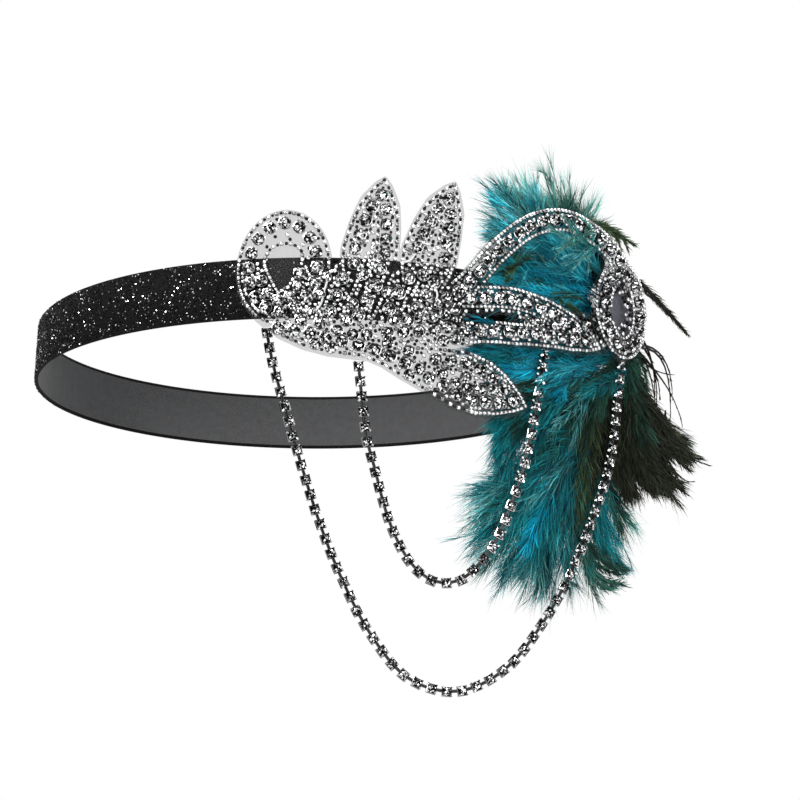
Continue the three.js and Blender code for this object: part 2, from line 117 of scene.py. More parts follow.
def bezier_way(start, middle, end, t):
    t = np.asarray(t, float)[..., None]
    return unit(2 * (1 - t) * (middle - start) + 2 * t * (end - middle))


def spline(points, closed=False, power=0.5, steps=24):
    """Many points along a Catmull-Rom curve through the points."""
    points = np.asarray(points, float)
    if closed:
        ring = np.concatenate([points[-1:], points, points[:2]])
    else:
        ring = np.concatenate([[2 * points[0] - points[1]], points, [2 * points[-1] - points[-2]]])
    made = []
    for p0, p1, p2, p3 in zip(ring, ring[1:], ring[2:], ring[3:]):
        d0, d1, d2 = (max(np.linalg.norm(b - a), 1e-6) ** power for a, b in ((p0, p1), (p1, p2), (p2, p3)))
        m1 = ((p1 - p0) / d0 - (p2 - p0) / (d0 + d1) + (p2 - p1) / d1) * d1
        m2 = ((p2 - p1) / d1 - (p3 - p1) / (d1 + d2) + (p3 - p2) / d2) * d1
        t = np.linspace(0, 1, steps, endpoint=False)[:, None]
        made.append(p1 + m1 * t + (3 * (p2 - p1) - 2 * m1 - m2) * t**2 + (2 * (p1 - p2) + m1 + m2) * t**3)
    made.append(ring[-2][None])
    return np.concatenate(made)


def length_of(line):
    return np.linalg.norm(np.diff(line, axis=0), axis=1).sum()


def at_lengths(line, places):
    along = np.concatenate([[0], np.cumsum(np.linalg.norm(np.diff(line, axis=0), axis=1))])
    return np.stack([np.interp(places, along, line[:, k]) for k in range(line.shape[1])], -1)


def spaced(line, pitch, closed=False):
    """Even places along a line, about a pitch apart, end to end."""
    whole = length_of(line)
    count = max(1, round(whole / pitch))
    places = at_lengths(line, np.linspace(0, whole, count + 1))
    return places[:-1] if closed else places


# Meshes
def make_piece(name, points, faces, materials, face_materials=None, smooth=False, tints=None, uvs=None):
    """One object from points in millimetres and an array, or several, of faces with equal corners."""
    arrays = faces if isinstance(faces, list) else [faces]
    arrays = [np.asarray(a, np.int32) for a in arrays if len(a)]
    points = np.asarray(points, np.float32) * MM
    loops = np.concatenate([a.ravel() for a in arrays])
    sizes = np.concatenate([np.full(len(a), a.shape[1], np.int32) for a in arrays])
    mesh = bpy.data.meshes.new(name)
    mesh.vertices.add(len(points))
    mesh.vertices.foreach_set("co", points.ravel())
    mesh.loops.add(len(loops))
    mesh.loops.foreach_set("vertex_index", loops)
    mesh.polygons.add(len(sizes))
    mesh.polygons.foreach_set("loop_start", np.concatenate([[0], np.cumsum(sizes)[:-1]]).astype(np.int32))
    if face_materials is not None:
        mesh.polygons.foreach_set("material_index", np.asarray(face_materials, np.int32))
    mesh.update(calc_edges=True)
    mesh.shade_smooth() if smooth else mesh.shade_flat()
    if tints is not None:
        on_faces = len(tints) == len(sizes)
        layer = mesh.attributes.new("tint", "FLOAT_COLOR", "CORNER" if on_faces else "POINT")
        tints = np.repeat(tints, sizes, axis=0) if on_faces else np.asarray(tints)
        layer.data.foreach_set("color", tints.astype(np.float32).ravel())
    if uvs is not None:
        layer = mesh.uv_layers.new(name="flat")
        layer.data.foreach_set("uv", np.asarray(uvs, np.float32)[loops].ravel())
    for material in materials:
        mesh.materials.append(material)
    piece = bpy.data.objects.new(name, mesh)
    bpy.context.scene.collection.objects.link(piece)
    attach(piece, "root")
    return piece


def copies(template, faces, places, axes, sizes=None):
    """Points and faces of copies of a small mesh. axes holds each copy's three directions as rows."""
    template = np.asarray(template, float)
    scale = np.ones(len(places)) if sizes is None else np.asarray(sizes, float)
    points = places[:, None] + np.einsum("pk,nkc->npc", template, axes) * scale[:, None, None]
    shift = (np.arange(len(places)) * len(template))[:, None, None]
    faces = [np.asarray(a) for a in faces]
    return points.reshape(-1, 3), [(a[None] + shift).reshape(-1, a.shape[1]) for a in faces]


def grey_tints(values, per_copy=1):
    """Greys, each repeated for so many points or faces."""
    grey = np.repeat(np.asarray(values, float).ravel(), per_copy)
    return np.stack([grey, grey, grey, np.ones_like(grey)], -1)


# Materials
def new_material(name, **values):
    material = bpy.data.materials.new(name)
    material.use_nodes = True
    shader = material.node_tree.nodes["Principled BSDF"]
    for socket, value in values.items():
        shader.inputs[socket.replace("_", " ")].default_value = value
    return material, material.node_tree, shader


def add_node(tree, kind, settings=None, **values):
    node = tree.nodes.new(kind)
    for key, value in (settings or {}).items():
        setattr(node, key, value)
    for socket, value in values.items():
        node.inputs[socket.replace("_", " ")].default_value = value
    return node


def link(tree, node, output, target, socket):
    tree.links.new(node.outputs[output], target.inputs[socket])


def noise_node(tree, scale, detail, places="Object"):
    place = add_node(tree, "ShaderNodeTexCoord")
    noise = add_node(tree, "ShaderNodeTexNoise", Scale=scale, Detail=detail)
    link(tree, place, places, noise, "Vector")
    return noise


def tinted(tree, shader, noise_scale, low, high):
    """Base colour from the mesh's own tint, varied by a noise."""
    tint = add_node(tree, "ShaderNodeAttribute", {"attribute_name": "tint"})
    span = add_node(tree, "ShaderNodeMapRange", To_Min=low, To_Max=high)
    mix = add_node(tree, "ShaderNodeVectorMath", {"operation": "SCALE"})
    link(tree, noise_node(tree, noise_scale, 2.0), "Fac", span, "Value")
    link(tree, tint, "Color", mix, 0)
    link(tree, span, "Result", mix, "Scale")
    link(tree, mix, "Vector", shader, "Base Color")


def bumped(tree, shader, noise_scale, distance, strength=0.5):
    bump = add_node(tree, "ShaderNodeBump", Strength=strength, Distance=distance)
    link(tree, noise_node(tree, noise_scale, 3.0), "Fac", bump, "Height")
    link(tree, bump, "Normal", shader, "Normal")


def tinted_material(name, noise_scale, low, high, **values):
    material, tree, shader = new_material(name, **values)
    tinted(tree, shader, noise_scale, low, high)
    return material


def silver_material(name, roughness):
    material, tree, shader = new_material(name, Metallic=1.0, Roughness=roughness)
    tinted(tree, shader, 700.0, 0.8, 1.1)
    bumped(tree, shader, 1500.0, 0.00004)
    return material


def cloth_material(name, noise_scale, detail, colours, bump, **values):
    """A cloth mottled between two colours by a noise. bump holds its bump's noise, distance and strength."""
    material, tree, shader = new_material(name, **values)
    ramp = add_node(tree, "ShaderNodeValToRGB")
    for stop, colour in zip(ramp.color_ramp.elements, colours):
        stop.color = (*colour, 1)
    link(tree, noise_node(tree, noise_scale, detail), "Fac", ramp, "Fac")
    link(tree, ramp, "Color", shader, "Base Color")
    bumped(tree, shader, *bump)
    return material


def organza_material():
    """Sheer cloth: fine threads both ways, worked out from the flat places in the UV map."""
    material, tree, shader = new_material("sheer_organza", Roughness=0.6, Specular_IOR_Level=0.25)
    threads_per_mm = 2.6
    uv = add_node(tree, "ShaderNodeUVMap", {"uv_map": "flat"})
    parts = add_node(tree, "ShaderNodeSeparateXYZ")
    weave = add_node(tree, "ShaderNodeMath", {"operation": "MAXIMUM"})
    link(tree, uv, "UV", parts, "Vector")
    for k, axis in enumerate("XY"):
        turn = add_node(tree, "ShaderNodeMath", {"operation": "MULTIPLY"})
        turn.inputs[1].default_value = 2 * math.pi * threads_per_mm
        wave = add_node(tree, "ShaderNodeMath", {"operation": "SINE"})
        link(tree, parts, axis, turn, 0)
        link(tree, turn, 0, wave, 0)
        link(tree, wave, 0, weave, k)
    for socket, low, high in (("Alpha", 0.12, 0.25), ("Base Color", 0.03, 0.06)):
        span = add_node(tree, "ShaderNodeMapRange", From_Min=-1.0, From_Max=1.0, To_Min=low, To_Max=high)
        link(tree, weave, 0, span, "Value")
        link(tree, span, "Result", shader, socket)
    bump = add_node(tree, "ShaderNodeBump", Strength=0.3, Distance=0.00005)
    link(tree, weave, 0, bump, "Height")
    link(tree, bump, "Normal", shader, "Normal")
    return material


# The applique's outline, as on the solids
PROFILES = {
    "leaf": [(0, 0.75), (0.12, 0.9), (0.28, 0.97), (0.5, 0.87), (0.7, 0.71), (0.88, 0.36), (1, 0.04)],
    "middle": [(0, 0.98), (0.12, 1.02), (0.25, 0.98), (0.45, 1), (0.63, 0.87), (0.81, 0.66),
               (0.93, 0.38), (1, 0.04)],
    "drop": [(0, 0.25), (0.11, 0.36), (0.25, 0.6), (0.4, 0.8), (0.57, 1), (0.7, 0.96), (0.82, 0.74),
             (0.92, 0.42), (1, 0.06)],
    "keel": [(0, 0.2), (0.12, 0.53), (0.31, 0.88), (0.48, 1), (0.64, 0.95), (0.83, 0.73), (1, 0.5)],
    "web": [(0, 0.35), (0.12, 0.8), (0.3, 1), (0.55, 1), (0.78, 0.62), (1, 0.3)],
    "slit": [(0, 0.06), (0.2, 0.8), (0.5, 1), (0.8, 0.7), (1, 0.06)],
}

BLADES = {
    "tall_leaf": dict(root=(0.278, 0.026), tip=(0.314, 0.484), bow=0, width=0.255, profile="leaf"),
    "second_leaf": dict(root=(0.401, 0.026), tip=(0.466, 0.49), bow=0.01, width=0.255, profile="leaf"),
    "middle_leaf": dict(root=(0.42, -0.124), tip=(0.84, -0.118), bow=0.062, width=0.266, profile="middle"),
    "lower_leaf": dict(root=(0.291, -0.281), tip=(0.645, -0.444), bow=0.01, width=0.268, profile="drop"),
    "keel": dict(root=(0.038, -0.092), tip=(0.318, -0.268), bow=0, width=0.209, profile="keel"),
    "web": dict(root=(0.165, -0.039), tip=(0.505, -0.14), bow=0, width=0.36, profile="web"),
    "far_link": dict(root=(0.745, -0.052), tip=(0.891, -0.065), bow=0, width=0.17, profile="web"),
    "slit": dict(root=(0.495, -0.107), tip=(0.611, -0.063), bow=0, width=0.036, profile="slit"),
}

EYES = {
    "left_eye": dict(centre=(0.105, 0.078), half=(0.2065, 0.255)),
    "right_eye": dict(centre=(0.909, 0.092), half=(0.1778, 0.226)),
}

ARCH_SPINE = [
    (0.455, -0.039), (0.515, 0.085), (0.568, 0.218), (0.645, 0.353), (0.728, 0.41),
    (0.805, 0.39), (0.871, 0.333), (0.931, 0.248),
]


class Blade:
    """A leaf of the applique: its spine, and its half width along it."""

    def __init__(self, root, tip, bow, width, profile):
        start, end = flat(root), flat(tip)
        middle = (start + end) / 2 + left_of(unit(end - start)) * 2 * bow * APPLIQUE_HEIGHT
        self.curve = start, middle, end
        self.rows = np.array(PROFILES[profile])
        self.width = width * APPLIQUE_HEIGHT

    def spine(self, t):
        return bezier(*self.curve, t)

    def half_width(self, t):
        return np.interp(t, self.rows[:, 0], self.rows[:, 1]) * self.width / 2

    def aside(self, t, distance):
        left = left_of(bezier_way(*self.curve, t))
        return self.spine(t) + left * np.asarray(distance, float)[..., None]

    def edge(self, side, inset, start=0.0, end=1.0):
        """A line inset from the edge on one side, as far as the blade is wide enough for it."""
        t = np.linspace(start, end, 60)
        t = t[self.half_width(t) > inset]
        return self.aside(t, side * (self.half_width(t) - inset))


blades = {name: Blade(**row) for name, row in BLADES.items()}
arch_line = spline(flat(ARCH_SPINE), power=0, steps=20)


EYE_STEPS = 72


def eye_line(eye, inset):
    turn = np.linspace(0, 2 * math.pi, EYE_STEPS + 1)
    half = np.array(eye["half"]) * APPLIQUE_HEIGHT - inset
    return flat(eye["centre"]) + np.stack([half[0] * np.cos(turn), half[1] * np.sin(turn)], -1)


def distance(places, centre):
    return np.hypot(places[:, 0] - centre[0], places[:, 1] - centre[1])


def cloth_field(places):
    """How far inside the cloth's outline flat places are, in millimetres; below 0 outside."""
    best = np.full(len(places), -1e9)
    t = np.linspace(0, 1, 60)
    discs = [(blade.spine(t), blade.half_width(t)) for name, blade in blades.items() if name != "slit"]
    arch = arch_line[::2]
    discs.append((arch, np.full(len(arch), ARCH_STRIP_WIDTH / 2)))
    for centres, radii in discs:
        for centre, radius in zip(centres, radii):
            np.maximum(best, radius - distance(places, centre), out=best)
    for eye in EYES.values():
        half = np.array(eye["half"]) * APPLIQUE_HEIGHT
        reach = distance((places - flat(eye["centre"])) / half, (0, 0))
        np.maximum(best, (1 - reach) * half.min(), out=best)
    slit = blades["slit"]
    for centre, radius in zip(slit.spine(t), slit.half_width(t)):
        np.minimum(best, distance(places, centre) - radius, out=best)
    return best


FIELD_STEP = 0.6
field_u = np.arange(14, 168.5, FIELD_STEP)
field_v = np.arange(-41, 39.5, FIELD_STEP)
field = cloth_field(np.stack(np.meshgrid(field_u, field_v, indexing="ij"), -1).reshape(-1, 2))
field = field.reshape(len(field_u), len(field_v))


def field_at(u, v):
    """The cloth's field at places, from its grid."""
    i = (np.asarray(u) - field_u[0]) / FIELD_STEP
    j = (np.asarray(v) - field_v[0]) / FIELD_STEP
    inside = (i >= 0) & (j >= 0) & (i < len(field_u) - 1) & (j < len(field_v) - 1)
    i = np.clip(i, 0, len(field_u) - 1.001)
    j = np.clip(j, 0, len(field_v) - 1.001)
    i0, j0 = i.astype(int), j.astype(int)
    a, b = i - i0, j - j0
    value = ((1 - a) * (1 - b) * field[i0, j0] + a * (1 - b) * field[i0 + 1, j0]
             + (1 - a) * b * field[i0, j0 + 1] + a * b * field[i0 + 1, j0 + 1])
    return np.where(inside, value, -20.0)


# The sheer cloth
CLOTH_FRONT = -0.15
CLOTH_SHEER = 0.3
CLOTH_RIPPLE = 0.12


def cloth_piece():
    """The outline is cut from a fine grid of triangles, then bent on the wrap with a back and a rim."""
    nu, nv = field.shape
    places, index = [], {}

    def corner(i, j):
        key = (i, j)
        if key not in index:
            index[key] = len(places)
            places.append((field_u[i], field_v[j]))
        return index[key]

    def crossing(a, b):
        key = (min(a, b), max(a, b))
        if key not in index:
            fa, fb = field[a], field[b]
            share = fa / (fa - fb)
            index[key] = len(places)
            places.append((field_u[a[0]] + share * (field_u[b[0]] - field_u[a[0]]),
                           field_v[a[1]] + share * (field_v[b[1]] - field_v[a[1]])))
        return index[key]

    triangles, rim = [], []
    inside = field > 0
    touched = inside[:-1, :-1] | inside[1:, :-1] | inside[:-1, 1:] | inside[1:, 1:]
    for i, j in zip(*np.nonzero(touched)):
        i, j = int(i), int(j)
        for cell in (((i, j), (i + 1, j), (i + 1, j + 1)), ((i, j), (i + 1, j + 1), (i, j + 1))):
            loop, cut = [], []
            for a, b in zip(cell, cell[1:] + cell[:1]):
                if inside[a]:
                    loop.append(corner(*a))
                if inside[a] != inside[b]:
                    loop.append(crossing(a, b))
                    cut.append((loop[-1], bool(inside[a])))
            for k in range(1, len(loop) - 1):
                triangles.append((loop[0], loop[k], loop[k + 1]))
            if len(cut) == 2:
                leaving, entering = cut if cut[0][1] else cut[::-1]
                rim.append((leaving[0], entering[0]))
    places, triangles, rim = np.array(places), np.array(triangles), np.array(rim)
    u, v = places.T
    ripple = CLOTH_RIPPLE * np.sin(u * 1.1 + 0.6 * np.sin(v * 0.8)) * np.sin(v * 0.9)
    front = np.column_stack([places, CLOTH_FRONT + ripple])
    back = np.column_stack([places, CLOTH_FRONT - CLOTH_SHEER + ripple])
    count = len(places)
    quads = np.column_stack([rim[:, 1], rim[:, 0], rim[:, 0] + count, rim[:, 1] + count])
    piece = make_piece(
        "applique_cloth", wrap(np.concatenate([front, back])),
        [triangles, triangles[:, ::-1] + count, quads], [organza_material()],
        uvs=np.concatenate([places, places]))
    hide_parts("applique_backing")
    a, b, c = (places[triangles[:, k]] for k in range(3))


PAD_HALF = (9, 13)
PAD_BACK = 2.0
PAD_THICKNESS = 0.7


def pad_piece():
    """A felt pad behind the right eye, which the feathers' roots are sewn to."""
    sides, rings = 48, 5
    turn = np.linspace(0, 2 * math.pi, sides, endpoint=False)
    centre = flat(EYES["right_eye"]["centre"])
    outline = np.stack([PAD_HALF[0] * np.cos(turn), PAD_HALF[1] * np.sin(turn)], -1)
    shares = np.linspace(0.2, 1, rings)
    places = np.concatenate([centre[None], *(centre + outline * share for share in shares)])
    k = np.arange(sides)
    k2 = (k + 1) % sides
    starts = 1 + sides * np.arange(rings)
    fan = np.stack([0 * k, 1 + k, 1 + k2], -1)
    quads = np.concatenate([np.stack([a + k, a + sides + k, a + sides + k2, a + k2], -1)
                            for a in starts[:-1]])
    count = len(places)
    edge = starts[-1]
    rim = np.stack([edge + k, edge + k + count, edge + k2 + count, edge + k2], -1)
    front = np.column_stack([places, np.full(count, -PAD_BACK)])
    back = front - (0, 0, PAD_THICKNESS)
    felt = cloth_material("grey_felt", 900.0, 4.0, ((0.2, 0.2, 0.25), (0.36, 0.36, 0.43)),
                          (2500.0, 0.0001, 0.6), Base_Color=(0.2, 0.2, 0.26, 1), Roughness=0.95)
    piece = make_piece("feather_pad", wrap(np.concatenate([front, back])),
                       [fan, fan[:, ::-1] + count, quads, quads[:, ::-1] + count, rim], [felt])


# The band
def band_piece():
    """A swept section: black glitter elastic outside and round the edges, a grey lining inside."""
    steps = 360
    turn = np.linspace(0, 2 * math.pi, steps, endpoint=False)
    half_h, half_w, round_off, hem, sunk, slope = BAND_HEIGHT / 2, BAND_WALL / 2, 0.35, 0.9, 0.12, 0.15
    section = [
        (half_w, -half_h + round_off), (half_w, 0), (half_w, half_h - round_off),
        (half_w - round_off, half_h), (-half_w + round_off, half_h), (-half_w, half_h - round_off),
        (-half_w, half_h - hem), (-half_w + sunk, half_h - hem - slope), (-half_w + sunk, 0),
        (-half_w + sunk, -half_h + hem + slope), (-half_w, -half_h + hem), (-half_w, -half_h + round_off),
        (-half_w + round_off, -half_h), (half_w - round_off, -half_h),
    ]
    lined = (7, 8)
    out, height = np.array(section).T
    points = np.zeros((steps, len(section), 3))
    points[:, :, 0] = (BAND_LENGTH / 2 + out[None]) * np.cos(turn)[:, None]
    points[:, :, 1] = (BAND_WIDTH / 2 + out[None]) * np.sin(turn)[:, None]
    points[:, :, 2] = height
    ring = np.arange(steps)[:, None] * len(section)
    after = ((np.arange(steps) + 1) % steps)[:, None] * len(section)
    k = np.arange(len(section))[None]
    k2 = (k + 1) % len(section)
    quads = np.stack([ring + k, after + k, after + k2, ring + k2], -1).reshape(-1, 4)
    kinds = [int(i in lined) for i in range(len(section))]
    elastic = cloth_material("black_elastic", 1200.0, 3.0, ((0.001, 0.0009, 0.0011), (0.005, 0.0045, 0.0055)),
                             (2200.0, 0.0002, 0.7), Roughness=0.8, Specular_IOR_Level=0.12)
    lining = cloth_material("grey_lining", 450.0, 4.0, ((0.047, 0.047, 0.048), (0.074, 0.074, 0.076)),
                            (1800.0, 0.0001, 0.5), Roughness=0.85, Specular_IOR_Level=0.3)
    piece = make_piece("headband_elastic", points.reshape(-1, 3), quads, [elastic, lining],
                       face_materials=np.tile(kinds, steps), smooth=True)
    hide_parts("elastic_band")


GLITTER_COUNT = 26000


def glitter_piece():
    """Small tilted flakes over the band's outer face."""
    turn = rng.uniform(0, 2 * math.pi, GLITTER_COUNT)
    out = unit(np.stack([np.cos(turn) / BAND_LENGTH, np.sin(turn) / BAND_WIDTH, 0 * turn], -1))
    reach = BAND_WALL / 2 + rng.uniform(0.03, 0.12, GLITTER_COUNT)
    places = np.stack([(BAND_LENGTH / 2 + reach) * np.cos(turn), (BAND_WIDTH / 2 + reach) * np.sin(turn),
                       rng.uniform(-1, 1, GLITTER_COUNT) * (BAND_HEIGHT / 2 - 0.3)], -1)
    tilt = rng.normal(0, 0.42, (GLITTER_COUNT, 3))
    facing = unit(out + tilt)
    side = unit(np.cross(facing, rng.normal(size=(GLITTER_COUNT, 3))))
    axes = np.stack([side, np.cross(facing, side), facing], 1)
    flake = [(math.cos(k * math.pi / 2), math.sin(k * math.pi / 2), 0) for k in range(4)]
    sizes = rng.uniform(0.13, 0.3, GLITTER_COUNT)
    points, faces = copies(flake, [[(0, 1, 2, 3)]], places, axes, sizes)
    tones = rng.choice([0.005, 0.2, 0.98], GLITTER_COUNT, p=[0.74, 0.13, 0.13])
    glitter = tinted_material("glitter_flakes", 500.0, 0.9, 1.1, Metallic=1.0, Roughness=0.1)
    make_piece("band_glitter", points, faces, [glitter], tints=grey_tints(tones, len(flake)))


# Stones
def lathe(rows, sides, start=0.0):
    """Points and quads of a turned surface from (radius, height) rows."""
    turn = (np.arange(sides) + start) / sides * 2 * math.pi
    points = [(r * math.cos(a), r * math.sin(a), z) for r, z in rows for a in turn]
    quads = [(i + k, i + (k + 1) % sides, i + sides + (k + 1) % sides, i + sides + k)
             for i in range(0, (len(rows) - 1) * sides, sides) for k in range(sides)]
    return points, quads


def brilliant():
    """A round brilliant of unit girdle radius, with a table, star, kite and girdle facets.
    The table has the shallow facets that its foiled back shows through it."""
    points, faces = [], []

    def ring(count, radius, height, start=0.0):
        first = len(points)
        for k in range(count):
            turn = (k + start) / count * 2 * math.pi
            high = height[k % len(height)] if isinstance(height, tuple) else height
            points.append((radius * math.cos(turn), radius * math.sin(turn), high))
        return first

    points.append((0, 0, 0.9))
    inner = ring(8, 0.3, (1.0, 0.9), 0.5)
    table = ring(8, 0.56, 0.98)
    crown = ring(8, 0.8, 0.72, 0.5)
    girdle = ring(16, 1.0, 0.42)
    foot = ring(16, 0.97, 0.34)
    for k in range(8):
        i, i2 = inner + k, inner + (k + 1) % 8
        t, t2 = table + k, table + (k + 1) % 8
        c, c0 = crown + k, crown + (k - 1) % 8
        g, g2 = girdle + 2 * k, girdle + (2 * k + 2) % 16
        faces += [(0, i, i2), (i, t2, i2), (i, t, t2), (t, c, t2), (t, c0, g), (t, g, c), (c, g, g + 1),
                  (c, g + 1, g2)]
    for k in range(16):
        g, g2 = girdle + k, girdle + (k + 1) % 16
        f, f2 = foot + k, foot + (k + 1) % 16
        faces += [(g, f, f2), (g, f2, g2)]
    return np.array(points), np.array(faces)


def merged(parts):
    points, quads = [], []
    for more, faces in parts:
        quads += [tuple(i + len(points) for i in f) for f in faces]
        points += list(more)
    return np.array(points, float), np.array(quads)


def claw(turn, inner, outer, foot, top, width):
    """One claw: up the cup's side and over the stone's edge."""
    rows = [(outer, foot), (outer, top * 0.72), (outer * 0.97, top * 0.9), (inner, top)]
    back = [(outer - 0.12, foot), (outer - 0.12, top * 0.66), (outer * 0.9, top * 0.8), (inner, top - 0.1)]
    c, s = math.cos(turn), math.sin(turn)
    points = [(r * c - y * s, r * s + y * c, z)
              for profile in (rows, back) for r, z in profile for y in (-width / 2, width / 2)]
    quads = []
    for k in (0, 2, 4):
        quads += [(k, k + 1, k + 3, k + 2), (k + 10, k + 11, k + 9, k + 8), (k, k + 2, k + 10, k + 8),
                  (k + 3, k + 1, k + 9, k + 11)]
    quads.append((6, 7, 15, 14))
    return points, quads


CLAW_TONE = 0.92


def with_claws(cup, rows, claws):
    """A cup and its claws as one mesh, with a grey for each face: rows holds the cup's, from its foot up."""
    points, quads = merged([cup, *claws])
    tones = np.full(len(quads), CLAW_TONE)
    tones[:len(cup[1])] = np.repeat(rows, len(cup[1]) // len(rows))
    return points, quads, tones


def sewn_setting():
    """A round cup with four claws, for a girdle of unit radius."""
    cup = lathe([(0.7, 0.0), (0.9, 0.0), (1.05, 0.12), (1.07, 0.4), (0.98, 0.42)], 12)
    claws = [claw((k + 0.5) * math.pi / 2, 0.86, 1.12, 0.05, 0.74, 0.26) for k in range(4)]
    # The cup's foot and walls are painted near black as shade, its rim grey
    return with_claws(cup, (0.05, 0.05, 0.08, 0.5), claws)


def chain_cup():
    """A square cup with a claw at each corner."""
    cup = lathe([(1.0, 0.0), (1.36, 0.0), (1.44, 0.15), (1.46, 0.5), (1.36, 0.56), (1.3, 0.4), (1.05, 0.3)],
                4, 0.5)
    claws = [claw((k + 0.5) * math.pi / 2, 0.88, 1.4, 0.45, 0.82, 0.3) for k in range(4)]
    # The cup's walls and its inside are painted near black as shade, its rim light
    return with_claws(cup, (0.04, 0.04, 0.05, 0.8, 0.3, 0.04), claws)


def frames_along(places, outs, closed=False):
    """Each place's directions: along its row, aside and out."""
    if closed:
        along = np.roll(places, -1, 0) - np.roll(places, 1, 0)
    else:
        along = np.gradient(places, axis=0)
    along = unit(along - outs * (along * outs).sum(1, keepdims=True))
    return np.stack([along, np.cross(outs, along), outs], 1)


def facet_reflection_tints(stones, facets, dark):
    """Painted reflections: some facets of a stone are painted black, as the share says, and others grey or
    white, for the dark and light that the facets mirror.
    """
    dark = np.broadcast_to(dark, stones)[:, None]
    draw = rng.random((stones, facets))
    rest = (draw - dark) / (1 - dark)
    greys = np.select([draw < dark, rest < 0.2, rest < 0.4], [0.012, 0.2, 0.55], 0.98)
    return grey_tints(greys)


def add_stones(name, places, axes, size, node, setting, height, dark, shine=1.0):
    """Stones with their settings at places on their carrier. dark, the share of facets painted black as
    reflection and shade, and shine, which scales the settings' painted greys, may differ among stones.
    """
    stone_points, stone_faces = brilliant()
    shape = np.array([1, 1, height / (STONE_SIZE / 2)])
    sizes = np.full(len(places), size)
    points, faces = copies(stone_points * shape, [stone_faces], places, axes, sizes)
    tints = facet_reflection_tints(len(places), len(stone_faces), dark)
    piece = make_piece(name, points, faces, [crystal], tints=tints)
    metal_points, metal_faces, tones = setting
    more, quads = copies(metal_points * shape, [metal_faces], places, axes, sizes)
    tones = np.broadcast_to(shine, len(places))[:, None] * tones
    make_piece(name + "_settings", more, quads, [silver], tints=grey_tints(tones))
    if node:
        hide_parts(node)


# Where the sewn stones sit
HAIRPIN_STARTS = {"tall_leaf": 0.1, "second_leaf": 0.17, "middle_leaf": 0.16, "lower_leaf": 0.36}
KEEL_ROW = [(0.101, -0.186), (0.171, -0.207), (0.238, -0.239), (0.305, -0.268), (0.371, -0.318)]
FINGERS = [
    ((0.233, 0.029), (0.209, -0.115)), ((0.303, 0.005), (0.269, -0.126)), ((0.371, 0.046), (0.333, -0.092)),
    ((0.426, 0.039), (0.393, -0.078)), ((0.331, -0.196), (0.431, -0.17)),
]
ARCH_ROW = (0.06, 0.92)
STONE_SEAT = 0.05


def hairpin(name, start):
    """Up a leaf's left edge, over a stone at its tip and down its right edge."""
    blade = blades[name]
    t = np.linspace(1, 0, 400)
    top = t[np.argmax(blade.half_width(t) >= ROW_INSET)]
    sides = []
    for sign in (1, -1):
        t = np.linspace(top, start, 40)
        line = blade.aside(t, sign * np.maximum(0, blade.half_width(t) - ROW_INSET))
        count = int(length_of(line) // STONE_PITCH)
        sides.append(at_lengths(line, (np.arange(count) + 1) * STONE_PITCH))
    return np.concatenate([sides[0][::-1], blade.aside(np.array([top]), np.array([0.0])), sides[1]])


def stone_rows():
    """Each row of sewn stones by the name of its node: flat places, and whether the row closes."""
    rows = {}
    for name, eye in EYES.items():
        rows[name + "_stones"] = (spaced(eye_line(eye, ROW_INSET), STONE_PITCH, closed=True), True)
    for name, start in HAIRPIN_STARTS.items():
        rows[name + "_stones"] = (hairpin(name, start), False)
    rows["keel_stones"] = (spaced(spline(flat(KEEL_ROW), power=0), STONE_PITCH), False)
    whole = length_of(arch_line)
    count = round(whole * (ARCH_ROW[1] - ARCH_ROW[0]) / STONE_PITCH)
    shares = np.linspace(*ARCH_ROW, count + 1)
    rows["arch_stones"] = (at_lengths(arch_line, shares * whole), False)
    for i, (start, end) in enumerate(FINGERS):
        line = np.array([flat(start), flat(end)])
        rows[f"finger_stones_{i + 1}"] = (spaced(line, STONE_PITCH), False)
    return rows


def takes_stones(u, v):
    """Where loose stones fill the room between the rows: not in the tall leaves or the right eye."""
    return (v < 5 or u > 92) and u < 138


class Taken:
    """Flat places that already carry a stone or a bead, with the room that each needs."""

    def __init__(self):
        self.cells = {}
        self.cell = 3.0

    def free(self, place, radius):
        i, j = int(place[0] // self.cell), int(place[1] // self.cell)
        for a in (i - 1, i, i + 1):
            for b in (j - 1, j, j + 1):
                for x, y, r in self.cells.get((a, b), ()):
                    if (x - place[0]) ** 2 + (y - place[1]) ** 2 < (r + radius) ** 2:
                        return False
        return True

    def add(self, place, radius):
        key = (int(place[0] // self.cell), int(place[1] // self.cell))
        self.cells.setdefault(key, []).append((place[0], place[1], radius))


# Rows in the shade of the leaves above them
DARKER_ROWS = ("lower_leaf_stones", "keel_stones", "right_eye_stones", "arch_stones")

# Loose stones are tried on a grid of this step, and need this much room and this distance from bare cloth
FILL_STEP = 1.1
FILL_ROOM = 2.4
FILL_FROM_BARE = 1.5


def seat_stones(name, places, closed, size, node, dark):
    """Stones at flat places, on the cloth."""
    seats = wrap(np.column_stack([places, np.full(len(places), STONE_SEAT)]))
    axes = frames_along(seats, wrap_out(places[:, 0]), closed)
    add_stones(name, seats, axes, size, node, sewn_setting(), STONE_HEIGHT, dark)


